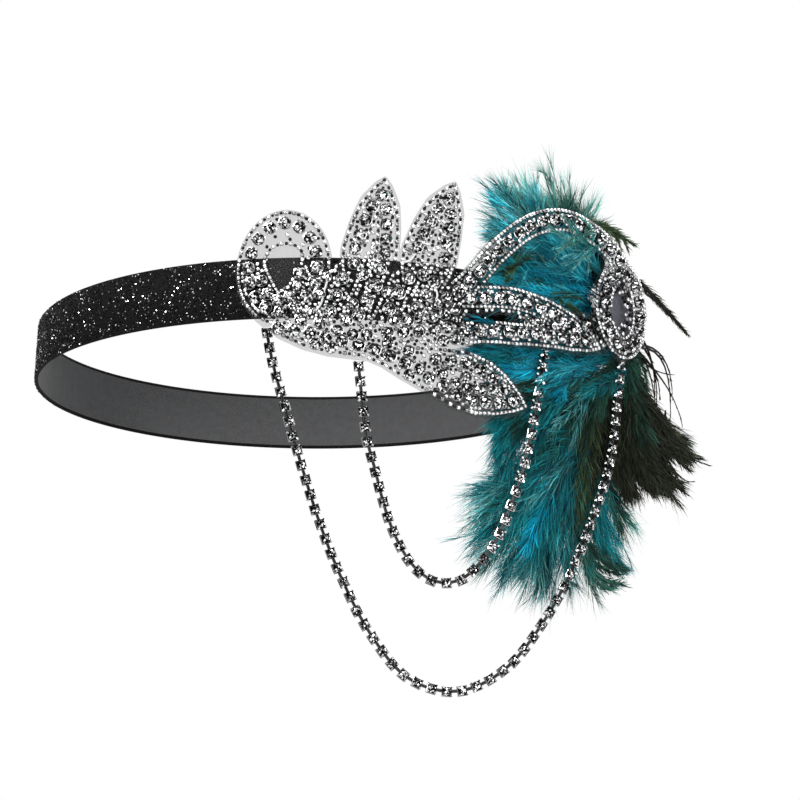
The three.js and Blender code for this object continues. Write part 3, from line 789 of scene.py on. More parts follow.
def sewn_stones(taken):
    radius = STONE_SIZE / 2
    for node, (places, closed) in stone_rows().items():
        dark = 0.54 if node in DARKER_ROWS else 0.43
        seat_stones(node.replace("_stones", "_crystals"), places, closed, radius * 1.06, node, dark)
        for place in places:
            taken.add(place, radius)
    # More stones fill what is left between the rows
    extra = []
    for j, v in enumerate(np.arange(-38, 37, FILL_STEP)):
        for u in np.arange(20 + (j % 2) * FILL_STEP / 2, 164, FILL_STEP):
            place = np.array([u, v])
            if not takes_stones(u, v) or is_bare(place, FILL_FROM_BARE):
                continue
            if field_at(u, v) > FILL_ROOM and taken.free(place, radius):
                taken.add(place, radius)
                extra.append(place)
    seat_stones("middle_crystals", np.array(extra), False, radius, None, 0.45)


# Seed beads
BEAD_RADIUS = 0.68
BEAD_LENGTH = 1.25
BEAD_PITCH = 1.45
BEAD_INSET = 1.1
LOOSE_TRIES = 60000

LEFT_DROP = [(26, 8), (28, 12.5), (33, 14), (37.4, 12), (38.2, 8), (35.8, 2.5), (32, -3), (28.4, 2)]
BARE_SPOTS = [
    [(26.8, 8), (28.6, 12), (33, 13.2), (36.8, 11.4), (37.4, 8), (35.2, 3), (32, -1.8), (29, 2.4)],
    [(60.4, 15), (58.6, 15), (53, 3), (55, 2.4)],
    [(84.3, 17), (82.4, 16.6), (79.8, 11.5), (82, 11)],
    [(146.6, 3.5), (146.8, 8), (149, 12.3), (152.4, 12), (154.2, 7), (153.2, 2.6), (150.5, 0.2), (148, 1)],
]

# Dark gaps between the slanted strips over the band: start and end
STRIP_GAPS = [
    ((48.6, 4), (45.5, -6)), ((55.4, 3), (51, -8.5)), ((58.8, 2), (56.2, -4)), ((66.6, 7), (60.4, -10.5)),
    ((75, 7), (71.4, -6)), ((67.6, 9), (66, 3)), ((63, -11.3), (66, -12)), ((75, -19.4), (80, -21)),
]

# Bead rows between the strips, and the raised white edges beside them
STRIP_BEADS = [
    [(61.8, 17), (57.9, 3), (53.6, -8)], [(67, 4), (64.6, -2), (61.6, -9.5)],
    [(77, 8), (73.8, -1), (70.2, -7)],
    [(68.6, 5), (66.2, -1)], [(56.4, 3), (52.2, -8.5)], [(69, -19.4), (79, -13.8), (89, -13)],
    [(64, -12.6), (72, -9), (79, -5), (86, 0)], [(47.4, 3.4), (44.3, -6)],
    [(70, -12), (80, -16.5), (92, -16.6)],
]
WHITE_EDGES = [
    [(41.6, -9.6), (44.5, -7), (45.9, -1), (47.4, 4.5)], [(76.2, -0.6), (79.2, -3.6), (81.2, -2), (81, 0.6)],
    [(69.2, 8.6), (72, 9.2), (74, 12)],
]


def inside_loop(loop, place):
    x, y = place
    hit = False
    for (x1, y1), (x2, y2) in zip(loop, loop[1:] + loop[:1]):
        if (y1 > y) != (y2 > y) and x < (x2 - x1) * (y - y1) / (y2 - y1) + x1:
            hit = not hit
    return hit


def away_from(line, place):
    (x1, y1), (x2, y2) = line
    dx, dy = x2 - x1, y2 - y1
    t = min(1, max(0, ((place[0] - x1) * dx + (place[1] - y1) * dy) / (dx * dx + dy * dy)))
    return math.hypot(place[0] - x1 - t * dx, place[1] - y1 - t * dy)


def is_bare(place, margin=0.0):
    """Whether the cloth is left plain at a place, or within a margin of it."""
    shifts = [(0, 0)] if margin == 0 else [(0, 0), (margin, 0), (-margin, 0), (0, margin), (0, -margin)]
    for dx, dy in shifts:
        if any(inside_loop(loop, (place[0] + dx, place[1] + dy)) for loop in BARE_SPOTS):
            return True
    return any(away_from(line, place) < 0.45 + margin for line in STRIP_GAPS)


def bead_rows():
    """Flat lines that beads are strung along, the outlines first."""
    def edges(names, inset, start, end):
        return [blades[name].edge(side, inset, start, end) for name in names for side in (1, -1)]

    left_eye, right_eye = EYES.values()
    arch_left = left_of(unit(np.gradient(arch_line, axis=0)))
    lines = [eye_line(left_eye, BEAD_INSET), eye_line(right_eye, BEAD_INSET)]
    lines += edges(HAIRPIN_STARTS, BEAD_INSET, 0.02, 0.985)
    lines += [blades["keel"].edge(-1, 1.5), blades["keel"].edge(-1, 3.0, 0.1, 1.0)]
    lines += [arch_line + arch_left * (side * (ARCH_STRIP_WIDTH / 2 - 1.05)) for side in (1, -1)]
    lines += [spline(LEFT_DROP, closed=True), eye_line(right_eye, 7.6),
              eye_line(left_eye, 2.6)[EYE_STEPS // 2:], eye_line(right_eye, 2.6)]
    for name, inset in zip(HAIRPIN_STARTS, (7.3, 7.3, 7.4, 7.2)):
        lines += edges([name], inset, 0.05, 0.9)
    lines += edges(("middle_leaf", "lower_leaf"), 2.6, 0.1, 0.95)
    lines += [blades[name].spine(np.linspace(0.25, 0.92, 40)) for name in ("lower_leaf", "middle_leaf")]
    lines += [spline(points) for points in STRIP_BEADS]
    lines += [flat([(0.75, 0.36), (0.86, 0.306)]), flat([(0.78, 0.33), (0.84, 0.27)])]
    return [line for line in lines if len(line) > 1]


def dense_share(u, v):
    """How much of the room that is left gets loose beads."""
    inner = field_at(u, v) > 2.2
    if u < 46:
        return 0.9 if v < 6 and inner else 0.02
    if v < -17 and u < 60:
        return 0.3 if inner else 0.05
    if v > 4 and u < 90:
        return 0.95 if inner else 0.1
    if v > -11 and u < 88:
        return 1
    return 0.5 if u > 138 else 0.95


def white_edges():
    """Thin rolled cloth edges that stand up between the strips."""
    points, faces = [], []
    steps, sides = 24, 6
    for line in WHITE_EDGES:
        curve = spline(line)
        places = at_lengths(curve, np.linspace(0, length_of(curve), steps))
        seats = wrap(np.column_stack([places, np.full(steps, 0.9)]))
        _, aside, out = np.moveaxis(frames_along(seats, wrap_out(places[:, 0])), 1, 0)
        wide = np.interp(np.linspace(0, 1, steps), [0, 0.1, 0.9, 1], [0.08, 0.32, 0.32, 0.08])
        turn = np.arange(sides) / sides * 2 * math.pi
        ring = (seats[:, None] + aside[:, None] * (wide[:, None] * np.cos(turn))[..., None]
                + out[:, None] * (wide[:, None] * 1.6 * np.sin(turn))[..., None])
        first = len(points) * steps * sides
        points.append(ring.reshape(-1, 3))
        i, k = np.arange(steps - 1)[:, None] * sides, np.arange(sides)[None]
        k2 = (k + 1) % sides
        faces.append(np.stack([i + k, i + k2, i + sides + k2, i + sides + k], -1).reshape(-1, 4) + first)
    edge, tree, shader = new_material("rolled_edge", Base_Color=(0.75, 0.75, 0.76, 1), Roughness=0.5)
    bumped(tree, shader, 2000.0, 0.00005)
    make_piece("rolled_edges", np.concatenate(points), faces, [edge], smooth=True)


def seed_beads(taken):
    """Beads along the rows, and loose ones in what room is left."""
    places, ways, strung = [], [], []
    radius = BEAD_RADIUS * 0.9

    def put(place, way, on_row):
        room = field_at(*place) - (0 if on_row else 0.9)
        if room < 0.35 or not taken.free(place, radius) or is_bare(place):
            return
        taken.add(place, radius)
        places.append(place)
        ways.append(way)
        strung.append(on_row)

    for line in bead_rows():
        row = spaced(line, BEAD_PITCH)
        for k, (place, way) in enumerate(zip(row, unit(np.gradient(row, axis=0)))):
            put(place, way, 1 + k % 2)
    for _ in range(LOOSE_TRIES):
        place = np.array([rng.uniform(16, 168), rng.uniform(-40, 38)])
        turn = rng.uniform(0, math.pi)
        if rng.uniform() < dense_share(*place):
            put(place, np.array([math.cos(turn), math.sin(turn)]), 0)
    places, ways, strung = np.array(places), np.array(ways), np.array(strung)
    lift = rng.normal(0, 0.06, len(places)) + BEAD_RADIUS * 0.8 + CLOTH_FRONT
    seats = wrap(np.column_stack([places, lift]))
    along = unit(wrap(np.column_stack([places + ways * 0.5, lift])) - seats)
    aside = unit(np.cross(wrap_out(places[:, 0]), along))
    axes = np.stack([aside, np.cross(along, aside), along], 1)
    half = BEAD_LENGTH / 2
    points, quads = lathe([(0.22, -half * 0.85), (0.5, -half), (BEAD_RADIUS, -half * 0.4),
                           (BEAD_RADIUS, half * 0.4), (0.5, half), (0.22, half * 0.85)], 6)
    sizes = rng.normal(1.0, 0.05, len(places))
    over_leaves = places[:, 0] < 92
    on_band = over_leaves & (np.abs(places[:, 1]) < BAND_HEIGHT / 2)
    bright = rng.choice([0.3, 0.7, 0.95], len(places), p=[0.25, 0.35, 0.4])
    # About half the loose beads off the band are painted near black, as shade among them
    mixed_with_painted_shade = rng.choice([0.02, 0.25, 0.75, 0.95], len(places), p=[0.5, 0.14, 0.14, 0.22])
    tones = np.where((strung > 0) | on_band, bright, mixed_with_painted_shade)
    # Against light cloth every second bead of a row is painted dark, as painted shadow between the beads.
    # Dark beads are a little smaller
    tones = np.where((strung == 2) & over_leaves & ~on_band, 0.03, tones)
    more, faces = copies(points, [quads], seats, axes, np.where(tones < 0.1, 0.78, 1) * sizes)
    make_piece("seed_beads", more, faces, [bead_silver], smooth=True,
               tints=grey_tints(tones, len(points)))


# Chains
# Each chain's ends on the cloth as shares, how far it hangs down and bulges forward, and its route as
# shares of the way across, of the drop and of the bulge
CHAINS = {
    "inner_chain": dict(
        ends=((0.275, -0.327), (0.703, -0.175)), drop=72.6, bulge=5,
        route=[
            (0, 0, 0), (0.035, 0.211, 0.02), (0.061, 0.341, 0.03), (0.1, 0.446, 0.03),
            (0.175, 0.664, 0.05), (0.231, 0.778, 0.06), (0.3, 0.882, 0.08), (0.395, 0.966, 0.1),
            (0.468, 0.995, 0.12), (0.532, 1, 0.2), (0.594, 0.985, 0.3), (0.694, 0.907, 0.5),
            (0.767, 0.805, 0.64), (0.815, 0.694, 0.75), (0.881, 0.517, 0.9), (0.937, 0.26, 0.78),
            (1, 0, 0),
        ]),
    "outer_chain": dict(
        ends=((0.071, -0.186), (0.938, -0.131)), drop=112.5, bulge=12,
        route=[
            (0, 0, 0), (0.017, 0.08, 0.03), (0.063, 0.237, 0.1), (0.113, 0.4, 0.17),
            (0.168, 0.562, 0.25), (0.232, 0.715, 0.35), (0.301, 0.845, 0.45), (0.39, 0.956, 0.54),
            (0.463, 0.993, 0.61), (0.525, 1, 0.68), (0.587, 0.983, 0.74), (0.671, 0.921, 0.84),
            (0.761, 0.79, 0.95), (0.838, 0.641, 0.86), (0.889, 0.518, 0.67), (0.93, 0.408, 0.48),
            (0.965, 0.297, 0.24), (0.983, 0.179, 0.11), (1, 0, 0),
        ]),
}
END_SET_BACK = CLOTH_THICKNESS + PIECE_GAP + math.hypot(CUP_SIZE, CUP_HEIGHT) / 2
LINK_RADIUS = 0.28
LINK_HALF = 1.15
LINK_ASIDE = 0.25
FEATHERS_FROM = 86
FEATHERS_DOWN_TO = -86


def add_chain(node, ends, drop, bulge, route):
    start, end = (wrap([*flat(shares), -END_SET_BACK]) for shares in ends)
    across = (end - start) * (1, 1, 0)
    span = np.linalg.norm(across)
    across /= span
    out = np.array([across[1], -across[0], 0])
    points = np.array([
        start + across * way * span + out * forward * bulge
        + np.array([0, 0, way * (end[2] - start[2]) - down * drop])
        for way, down, forward in route])
    places = spaced(spline(points), CUP_SIZE + CUP_GAP) - out * CUP_HEIGHT / 2
    outs = np.tile(out, (len(places), 1))
    axes = frames_along(places, outs)
    sway = rng.normal(0, 0.09, len(places))
    turned = axes.copy()
    turned[:, 1] = unit(axes[:, 1] + axes[:, 2] * sway[:, None])
    turned[:, 2] = np.cross(turned[:, 0], turned[:, 1])
    # The feathers light up what hangs in front of them, and the rest looks dark against the light
    lit = (places[:, 0] > FEATHERS_FROM) & (places[:, 2] > FEATHERS_DOWN_TO)
    add_stones(node + "_crystals", places, turned, CUP_SIZE / 2 * 0.88, node,
               chain_cup(), CUP_HEIGHT * 1.1, np.where(lit, 0.4, 0.62), np.where(lit, 1, 0.4))
    middles = (places[:-1] + places[1:]) / 2 + out * 0.75
    ways = unit(places[1:] - places[:-1])
    aside = unit(np.cross(outs[:-1], ways))
    link_axes = np.stack([aside, np.cross(ways, aside), ways], 1)
    link_points, link_quads = lathe([(LINK_RADIUS, -LINK_HALF), (LINK_RADIUS, LINK_HALF)], 6)
    both = np.concatenate([middles - aside * LINK_ASIDE, middles + aside * LINK_ASIDE])
    points, quads = copies(link_points, [link_quads], both, np.concatenate([link_axes, link_axes]))
    # The links are painted near black, as shade in the gaps between the cups
    make_piece(node + "_links", points, quads, [silver], smooth=True,
               tints=grey_tints(np.full(len(points), 0.05)))


# Feathers
BARB_STATIONS = np.array([0, 0.22, 0.48, 0.75, 1.0])
BARB_WIDTHS = np.array([1, 0.95, 0.75, 0.5, 0.1])
QUILL_RINGS = 9
QUILL_SIDES = 3
QUILL_RADIUS = 0.28
PLACES_VARY = (1.8, 1.8, 1.0)

# Dyes and painted shade: linear colours of a barb's root, darkened as painted shade, of its middle and of its
# end
DYES_AND_ROOT_SHADE = {
    "blue": ((0.0, 0.06, 0.1), (0.0, 0.26, 0.4), (0.002, 0.42, 0.57)),
    "sky": ((0.003, 0.13, 0.17), (0.02, 0.36, 0.44), (0.09, 0.53, 0.59)),
    "teal": ((0.0, 0.032, 0.042), (0.0, 0.145, 0.175), (0.015, 0.3, 0.32)),
    "grey": ((0.003, 0.08, 0.09), (0.04, 0.27, 0.29), (0.22, 0.47, 0.46)),
    "green": ((0.001, 0.022, 0.018), (0.01, 0.075, 0.06), (0.06, 0.19, 0.13)),
    "sage": ((0.01, 0.11, 0.1), (0.07, 0.3, 0.26), (0.26, 0.5, 0.42)),
    "olive": ((0.004, 0.012, 0.003), (0.035, 0.065, 0.008), (0.14, 0.18, 0.03)),
    "moss": ((0.006, 0.014, 0.005), (0.03, 0.055, 0.022), (0.08, 0.12, 0.05)),
    "forest": ((0.001, 0.012, 0.009), (0.006, 0.036, 0.025), (0.025, 0.08, 0.055)),
    "dark": ((0.002, 0.003, 0.001), (0.008, 0.01, 0.005), (0.028, 0.032, 0.018)),
}

# Teal feathers in groups. A row holds the flat places u and v of a feather's start, bend and tip, and its
# dye. A group's feathers share their depth behind the cloth, the reach of a barb, how many copies lie
# together, how many barbs each has, the barbs' width and spread, and where they are given, jitter, a
# factor on how far the places vary, and shaft, the quill's radius
TEAL_GROUPS = {
    "window_feathers": [
        dict(depth=7, reach=10, copies=3, barbs=270, width=0.34, spread=0.7, rows="""
            145 12 128 13 108 7 blue, 146 14 129 17 115 19 blue, 146 15 135 20 123 26 blue,
            148 15 140 22 132 30 sky, 150 17 145 24 141 32 teal, 143 10 126 11 106 12 blue,
            146 5 130 5 107 4 blue, 152 14 149 20 147 28 forest, 138 6 118 5 100 3 sky,
            136 10 116 10 101 9 teal, 136 14 116 16 105 15 green, 150 -3 142 1 132 2 forest"""),
        dict(depth=4.5, reach=6, copies=2, barbs=110, width=0.28, spread=0.6, rows="""
            144 13 134 17 124 20 sky, 143 9 130 9 116 5 blue, 146 16 138 23 131 28 sky,
            145 10 133 12 120 12 blue, 138 18 128 24 121 27 sky, 140 5 126 3 108 5 sky,
            136 13 126 9 116 8 sky"""),
        dict(depth=3.6, reach=2.8, copies=2, barbs=90, width=0.3, spread=0.4, rows="""
            103 6 107 10 112 14 olive, 106 11 109 15 113 18 forest, 104 4 109 7 114 8 sky,
            136 3 129 6 122 3 olive, 138 5 132 8 125 5 green, 138 2 133 5 127 1 forest"""),
        dict(depth=7, reach=7, copies=3, barbs=120, width=0.34, spread=0.8, rows="""
            150 -8 151 2 150 14 forest, 155 -8 156 4 153 14 forest, 158 -6 162 4 160 16 forest,
            162 -5 167 4 165 13 moss"""),
        dict(depth=2.2, reach=2.6, copies=3, barbs=90, width=0.3, spread=0.3, rows="""
            111 -9 102 -9 94 -11 sky, 111 -8 102 -8 94 -9 blue"""),
    ],
    "top_feathers": [
        dict(depth=8.5, reach=9, copies=2, barbs=230, width=0.3, spread=0.75, rows="""
            129 22 114 23 105 19 sky, 129 22 113 26 104 25 sky, 129 22 113 29 105 30 grey,
            129 22 112 32 106 35 sky, 129 22 112 35 107 38 grey, 131 23 116 35 112 39 grey,
            131 23 120 36 118 39 sky, 134 23 127 35 125 38 sage, 137 24 132 34 131 37 green,
            139 24 138 32 138 34 sage, 131 23 118 34 115 37 sage, 133 23 124 35 121 38 grey,
            135 24 129 34 128 37 sage, 139 24 142 33 143 36 green"""),
        dict(depth=8, reach=8, copies=2, barbs=40, width=0.2, spread=0.4, rows="""
            120 32 108 37 101 42 teal, 120 32 111 38 106 41 sage, 124 34 116 40 112 46 sage,
            126 35 121 41 118 46 sage, 130 35 128 43 125 51 sage, 132 35 130 44 129 52 sage,
            134 35 133 42 133 49 sage, 137 33 138 38 139 44 green, 139 32 143 37 145 41 sage,
            139 32 145 36 150 40 sage"""),
        dict(depth=6, reach=4.5, copies=4, barbs=190, width=0.4, spread=0.4, rows="""
            136 33 152 40 162 30 moss"""),
    ],
    "lower_feathers": [
        dict(depth=5, reach=8, copies=4, barbs=250, width=0.32, spread=0.55, rows="""
            158 -7 128 -9 98 -16 teal, 156 -9 130 -12 104 -20 teal, 150 -11 126 -16 106 -23 blue,
            154 -9 134 -11 118 -15 blue, 146 -13 130 -17 127 -23 blue, 150 -12 128 -20 112 -28 forest,
            140 -10 116 -13 93 -15 blue, 138 -14 116 -17 98 -18 teal, 162 -12 152 -17 142 -20 teal,
            158 -6 151 -15 148 -26 forest"""),
        dict(depth=4.6, reach=6, copies=2, barbs=70, width=0.24, spread=0.5, rows="""
            150 -11 130 -13 112 -17 sky, 146 -13 134 -16 122 -19 sky, 146 -12 134 -18 130 -25 sky,
            140 -14 124 -18 108 -21 blue, 136 -22 124 -29 116 -36 teal, 146 -16 136 -28 130 -40 grey,
            148 -18 142 -32 138 -46 forest"""),
        dict(depth=8, reach=10, copies=3, barbs=250, width=0.32, spread=0.6, rows="""
            131 -19 112 -27 107 -39 teal, 134 -21 115 -35 109 -52 teal, 130 -24 112 -33 107 -47 teal,
            138 -22 122 -35 116 -60 teal, 135 -20 121 -27 113 -38 forest, 148 -14 138 -29 125 -47 green,
            150 -16 140 -30 132 -51 forest, 151 -15 144 -32 141 -54 moss, 154 -15 152 -32 148 -51 dark,
            140 -33 122 -52 114 -68 teal, 144 -35 129 -57 122 -74 blue, 146 -37 137 -58 132 -76 teal,
            150 -39 147 -57 143 -71 green, 158 -12 157 -26 153 -44 dark, 146 -34 146 -48 140 -64 moss,
            136 -44 128 -60 124 -80 teal"""),
    ],
    "trailing_feathers": [
        dict(depth=9, reach=12, copies=3, barbs=180, width=0.27, spread=0.7, rows="""
            128 -42 114 -54 105 -61 teal, 128 -46 112 -60 103 -69 grey, 129 -50 113 -64 103 -76 teal,
            131 -54 115 -70 106 -80 grey, 133 -56 121 -73 112 -84 teal, 134 -59 125 -76 119 -85 grey,
            136 -58 131 -76 127 -84 teal, 142 -57 139 -74 138 -80 grey, 153 -38 151 -56 154 -68 teal,
            155 -42 160 -54 165 -61 green, 153 -46 147 -62 149 -74 teal, 152 -40 156 -58 160 -66 teal"""),
        dict(depth=8.5, reach=8, copies=2, barbs=46, width=0.17, spread=0.5, rows="""
            118 -55 106 -60 97 -62 grey, 116 -60 104 -66 97 -71 green, 114 -66 104 -73 97 -79 grey,
            118 -72 108 -80 102 -86 green, 122 -76 116 -84 112 -91 grey, 128 -78 124 -86 121 -93 green,
            134 -78 132 -86 130 -92 grey, 140 -76 139 -83 139 -88 green, 146 -76 149 -84 153 -88 green,
            158 -62 165 -68 170 -73 grey, 164 -56 171 -60 177 -63 grey"""),
        dict(depth=7.5, reach=6.5, copies=3, barbs=190, width=0.38, spread=0.42, rows="""
            145 -68 145 -85 163 -82 green, 145 -68 149 -79 164 -77 forest, 147 -62 154 -74 165 -76 teal"""),
        # Behind all the others, so that no gap shows through
        dict(depth=10, reach=9, copies=3, barbs=200, width=0.36, spread=0.6, jitter=0.4, rows="""
            152 -12 147 -30 143 -50 forest, 148 -14 142 -30 138 -48 forest, 140 -16 131 -30 124 -48 teal,
            152 -6 143 0 136 8 forest, 150 -9 140 -4 130 2 teal, 146 -32 142 -46 138 -62 forest,
            153 0 146 7 141 16 forest, 153 -18 150 -31 148 -48 forest"""),
    ],
    # Loose strands that lie over the inner chain and over the top of the window
    "stray_strands": [
        dict(depth=-3.6, reach=6, copies=2, barbs=22, width=0.24, spread=0.4, rows="""
            131 -16 123 -21 115 -26 sky, 131 -20 123 -26 116 -31 teal, 128 -48 120 -55 111 -60 teal,
            128 -52 120 -60 112 -65 grey"""),
        dict(depth=-3.4, reach=3.4, copies=2, barbs=36, width=0.2, spread=0.35, rows="""
            131 22 128 25 124 28 sage, 133 23 131 27 128 31 grey, 128 21 124 24 119 26 sage,
            132 24 133 28 132 31 sage, 134 25 128 21 121 17 grey, 132 25 126 22 120 19 sage,
            136 25 131 20 126 15 grey, 138 24 134 20 131 17 sage"""),
    ],
}

# Dark feathers in a fan of their own, as places aside and up from its root
HACKLE_TURN = math.radians(42.5)
HACKLE_ROOT = (0.93, -0.05)
HACKLE_BACK = 9.5
HACKLE_GROUPS = [
    dict(depth=2.5, reach=8, copies=4, barbs=260, width=0.42, spread=0.42, rows="""
        9 -2 14 -18 28 -33 dark, 9 -5 11 -28 25 -41 dark, 9 -8 8 -33 20 -44 dark, 9 -10 6 -34 13 -46 dark,
        10 -5 16 -21 28 -27 dark, 9 -10 5 -30 8 -45 dark, 8 0 10 -13 15 -26 forest,
        8 -2 8 -18 13 -32 forest, 8 -6 3 -26 3 -42 dark, 11 -12 14 -24 23 -33 dark, 8 2 10 -6 12 -16 forest,
        9 -20 10 -34 16 -42 dark, 9 -14 14 -33 24 -44 dark, 9 -14 10 -36 19 -46 dark"""),
    dict(depth=2.2, reach=3.4, copies=3, barbs=220, width=0.34, spread=0.34, jitter=0.3, rows="""
        11 27 20 20 30 10 dark"""),
    dict(depth=2.2, reach=3.6, copies=3, barbs=150, width=0.34, spread=0.3, rows="""
        9 -20 5 -36 1 -50 dark, 20 -20 26 -26 32 -28 moss, 18 -26 26 -34 32 -36 dark, 9 2 13 3 16 -5 forest,
        12 -6 17 -12 22 -22 dark"""),
    dict(depth=2, reach=1.7, copies=1, barbs=60, width=0.34, spread=0.14, shaft=0.5, rows="""
        12 4 24 3 27 -26 dark, 12 4 22 1 24 -24 dark, 12 4 27 1 28 -14 dark, 14 0 20 -3 19 -22 dark,
        12 2 21 -2 21 -15 dark, 12 3 18 0 19 -14 dark, 12 2 26 -4 28 -22 dark, 11 2 18 -4 26 -8 dark,
        12 25 18 23 26 16 dark, 22 -30 30 -34 38 -35 dark, 16 -26 24 -38 30 -42 dark,
        18 -30 24 -40 28 -46 dark"""),
]


def band_front(u):
    """How far out of the wrap the band's outer face is at u, which is below 0."""
    s, c = np.sin(u / APPLIQUE_RADIUS), np.cos(u / APPLIQUE_RADIUS)
    a2 = (BAND_LENGTH / 2 + BAND_WALL / 2) ** 2
    b2 = (BAND_WIDTH / 2 + BAND_WALL / 2) ** 2
    square = s * s / a2 + c * c / b2
    linear = WRAP_CENTRE_Y * c / b2
    rest = WRAP_CENTRE_Y**2 / b2 - 1
    return (linear + np.sqrt(np.maximum(linear**2 - square * rest, 0))) / square - APPLIQUE_RADIUS


def kept_clear(points):
    """Keeps feathers out of the band, and behind the cloth and the inner chain unless they are in front."""
    u, v, h = np.moveaxis(points, -1, 0)
    near_band = np.clip((13.5 - np.abs(v)) / 3, 0, 1)
    lowest = band_front(u) + 0.7
    h = np.where(h < lowest, h + (lowest - h) * near_band, h)
    covered = field_at(u, v) > -0.6
    h = np.where(covered & (h < 1), np.minimum(h, -1.5), h)
    by_chain = (np.abs(u - 118) < 9) & (np.abs(v + 38) < 24) & (h < 1)
    h = np.where(by_chain, np.minimum(h, -5.2), h)
    return np.stack([u, v, h], -1)


def feather(start, bend, tip, reach, dye, barbs, width, spread):
    """One feather's barbs as ribbons in a space whose third axis is its depth: points and tints."""
    t = np.sort(rng.uniform(0.05, 1.0, barbs))
    side = rng.choice([-1.0, 1.0], barbs)
    at = bezier(start, bend, tip, t)
    along = bezier_way(start, bend, tip, t)
    aside = unit(left_of(along))
    depth = np.array([0, 0, 1.0])
    angle = np.radians(np.interp(t, [0, 0.5, 1], [50, 38, 14]) * spread + rng.normal(0, 8, barbs))
    way = along * np.cos(angle)[:, None] + aside * (side * np.sin(angle))[:, None]
    long = reach * np.interp(t, [0, 0.3, 0.7, 1], [0.8, 1, 0.95, 0.6]) * rng.uniform(0.55, 1.25, barbs)
    curl = rng.normal(0.2, 0.14, barbs)
    lift = rng.normal(0, 0.2, barbs)
    phase = rng.uniform(0, 2 * math.pi, barbs)
    q = BARB_STATIONS[None, :, None]
    cross = np.stack([-way[:, 1], way[:, 0], way[:, 2]], -1)
    line = (at[:, None] + way[:, None] * long[:, None, None] * q
            + along[:, None] * (long * curl)[:, None, None] * q**2
            + depth * (long * lift)[:, None, None] * q**1.5
            + cross[:, None] * (0.06 * long[:, None, None] * np.sin(phase[:, None, None] + 4.5 * q)) * q)
    twist = rng.uniform(-1.0, 1.0, barbs)
    flank = unit(cross * np.cos(twist)[:, None] + depth * np.sin(twist)[:, None])
    half = (BARB_WIDTHS[None] * rng.uniform(0.6, 1.2, barbs)[:, None] * width / 2)[..., None]
    points = np.stack([line - flank[:, None] * half, line + flank[:, None] * half], 2)
    # A barb's colour runs from its root's painted shade through its middle to its end
    low, middle, high = (np.array(c) for c in DYES_AND_ROOT_SHADE[dye])
    s = BARB_STATIONS[None, :, None]
    shade = np.where(s < 0.5, low + (middle - low) * s * 2, middle + (high - middle) * (s * 2 - 1))
    shade = shade * rng.lognormal(0, 0.4, barbs)[:, None, None] * rng.lognormal(0, 0.32)
    tints = np.repeat(shade[:, :, None], 2, axis=2)
    tints = np.concatenate([tints, np.ones(tints.shape[:-1] + (1,))], -1)
    return points, tints


def quill(start, bend, tip, radius):
    """A feather's shaft as a thin taper."""
    t = np.linspace(0, 0.94, QUILL_RINGS)
    line = bezier(start, bend, tip, t)
    along = unit(np.gradient(line, axis=0))
    aside = unit(left_of(along))
    up = np.cross(along, aside)
    wide = radius * (1 - 0.8 * t[:, None])
    turns = np.arange(QUILL_SIDES) * 2 * math.pi / QUILL_SIDES
    return np.stack([line + (aside * math.cos(a) + up * math.sin(a)) * wide for a in turns], 1)


def feather_rows(text):
    """Each row's three flat places and dye."""
    for row in text.split(","):
        *numbers, dye = row.split()
        yield np.array(numbers, float).reshape(3, 2), dye


def feather_piece(name, groups, place, material, node):
    """All the feathers of some groups as one mesh."""
    ribbons, tints, shafts, shaft_tints = [], [], [], []
    for group in groups:
        for flat_places, dye in feather_rows(group["rows"]):
            for _ in range(group["copies"]):
                reach = group["reach"] * rng.uniform(0.85, 1.12)
                ends = [np.array([*flat_place, -group["depth"]])
                        + rng.normal(0, 1, 3) * PLACES_VARY * group.get("jitter", 1)
                        for flat_place in flat_places]
                points, colours = feather(*ends, reach, dye, group["barbs"], group["width"], group["spread"])
                ribbons.append(points)
                tints.append(colours)
                shafts.append(quill(*ends, group.get("shaft", QUILL_RADIUS)))
                # A quill takes its root's colour, with the painted shade
                shaft_tints.append(np.tile([*DYES_AND_ROOT_SHADE[dye][0], 1.0], (QUILL_RINGS * QUILL_SIDES, 1)))
    ribbons, shafts = np.concatenate(ribbons), np.array(shafts)
    stations = len(BARB_STATIONS)
    base = (np.arange(len(ribbons)) * stations * 2)[:, None]
    k = 2 * np.arange(stations - 1)[None]
    ribbon_faces = np.stack([base + k, base + k + 1, base + k + 3, base + k + 2], -1).reshape(-1, 4)
    first = ribbons.size // 3 + (np.arange(len(shafts)) * QUILL_RINGS * QUILL_SIDES)[:, None, None]
    ring = first + QUILL_SIDES * np.arange(QUILL_RINGS - 1)[None, :, None]
    after = ring + QUILL_SIDES
    m = np.arange(QUILL_SIDES)[None, None]
    m2 = (m + 1) % QUILL_SIDES
    shaft_faces = np.stack([ring + m, ring + m2, after + m2, after + m], -1).reshape(-1, 4)
    points = np.concatenate([ribbons.reshape(-1, 3), shafts.reshape(-1, 3)])
    colours = np.concatenate([np.concatenate(tints).reshape(-1, 4), *shaft_tints])
    piece = make_piece(name, place(points), np.concatenate([ribbon_faces, shaft_faces]), [material],
                       tints=colours)
    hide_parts(node)


def fan_place(points):
    """From the dark fan's own plane to the part's frame."""
    root_u, root_v = flat(HACKLE_ROOT)
    start = wrap([root_u, root_v, -HACKLE_BACK])
    out = np.array([math.sin(HACKLE_TURN), -math.cos(HACKLE_TURN), 0])
    aside = np.array([math.cos(HACKLE_TURN), math.sin(HACKLE_TURN), 0])
    return (start + points[..., :1] * aside + points[..., 1:2] * np.array([0, 0, 1.0])
            + points[..., 2:3] * out)


def feather_material(name, roughness, sheen):
    return tinted_material(name, 160.0, 0.7, 1.3, Roughness=roughness, Sheen_Weight=sheen,
                           Sheen_Roughness=0.4, Specular_IOR_Level=0.2)


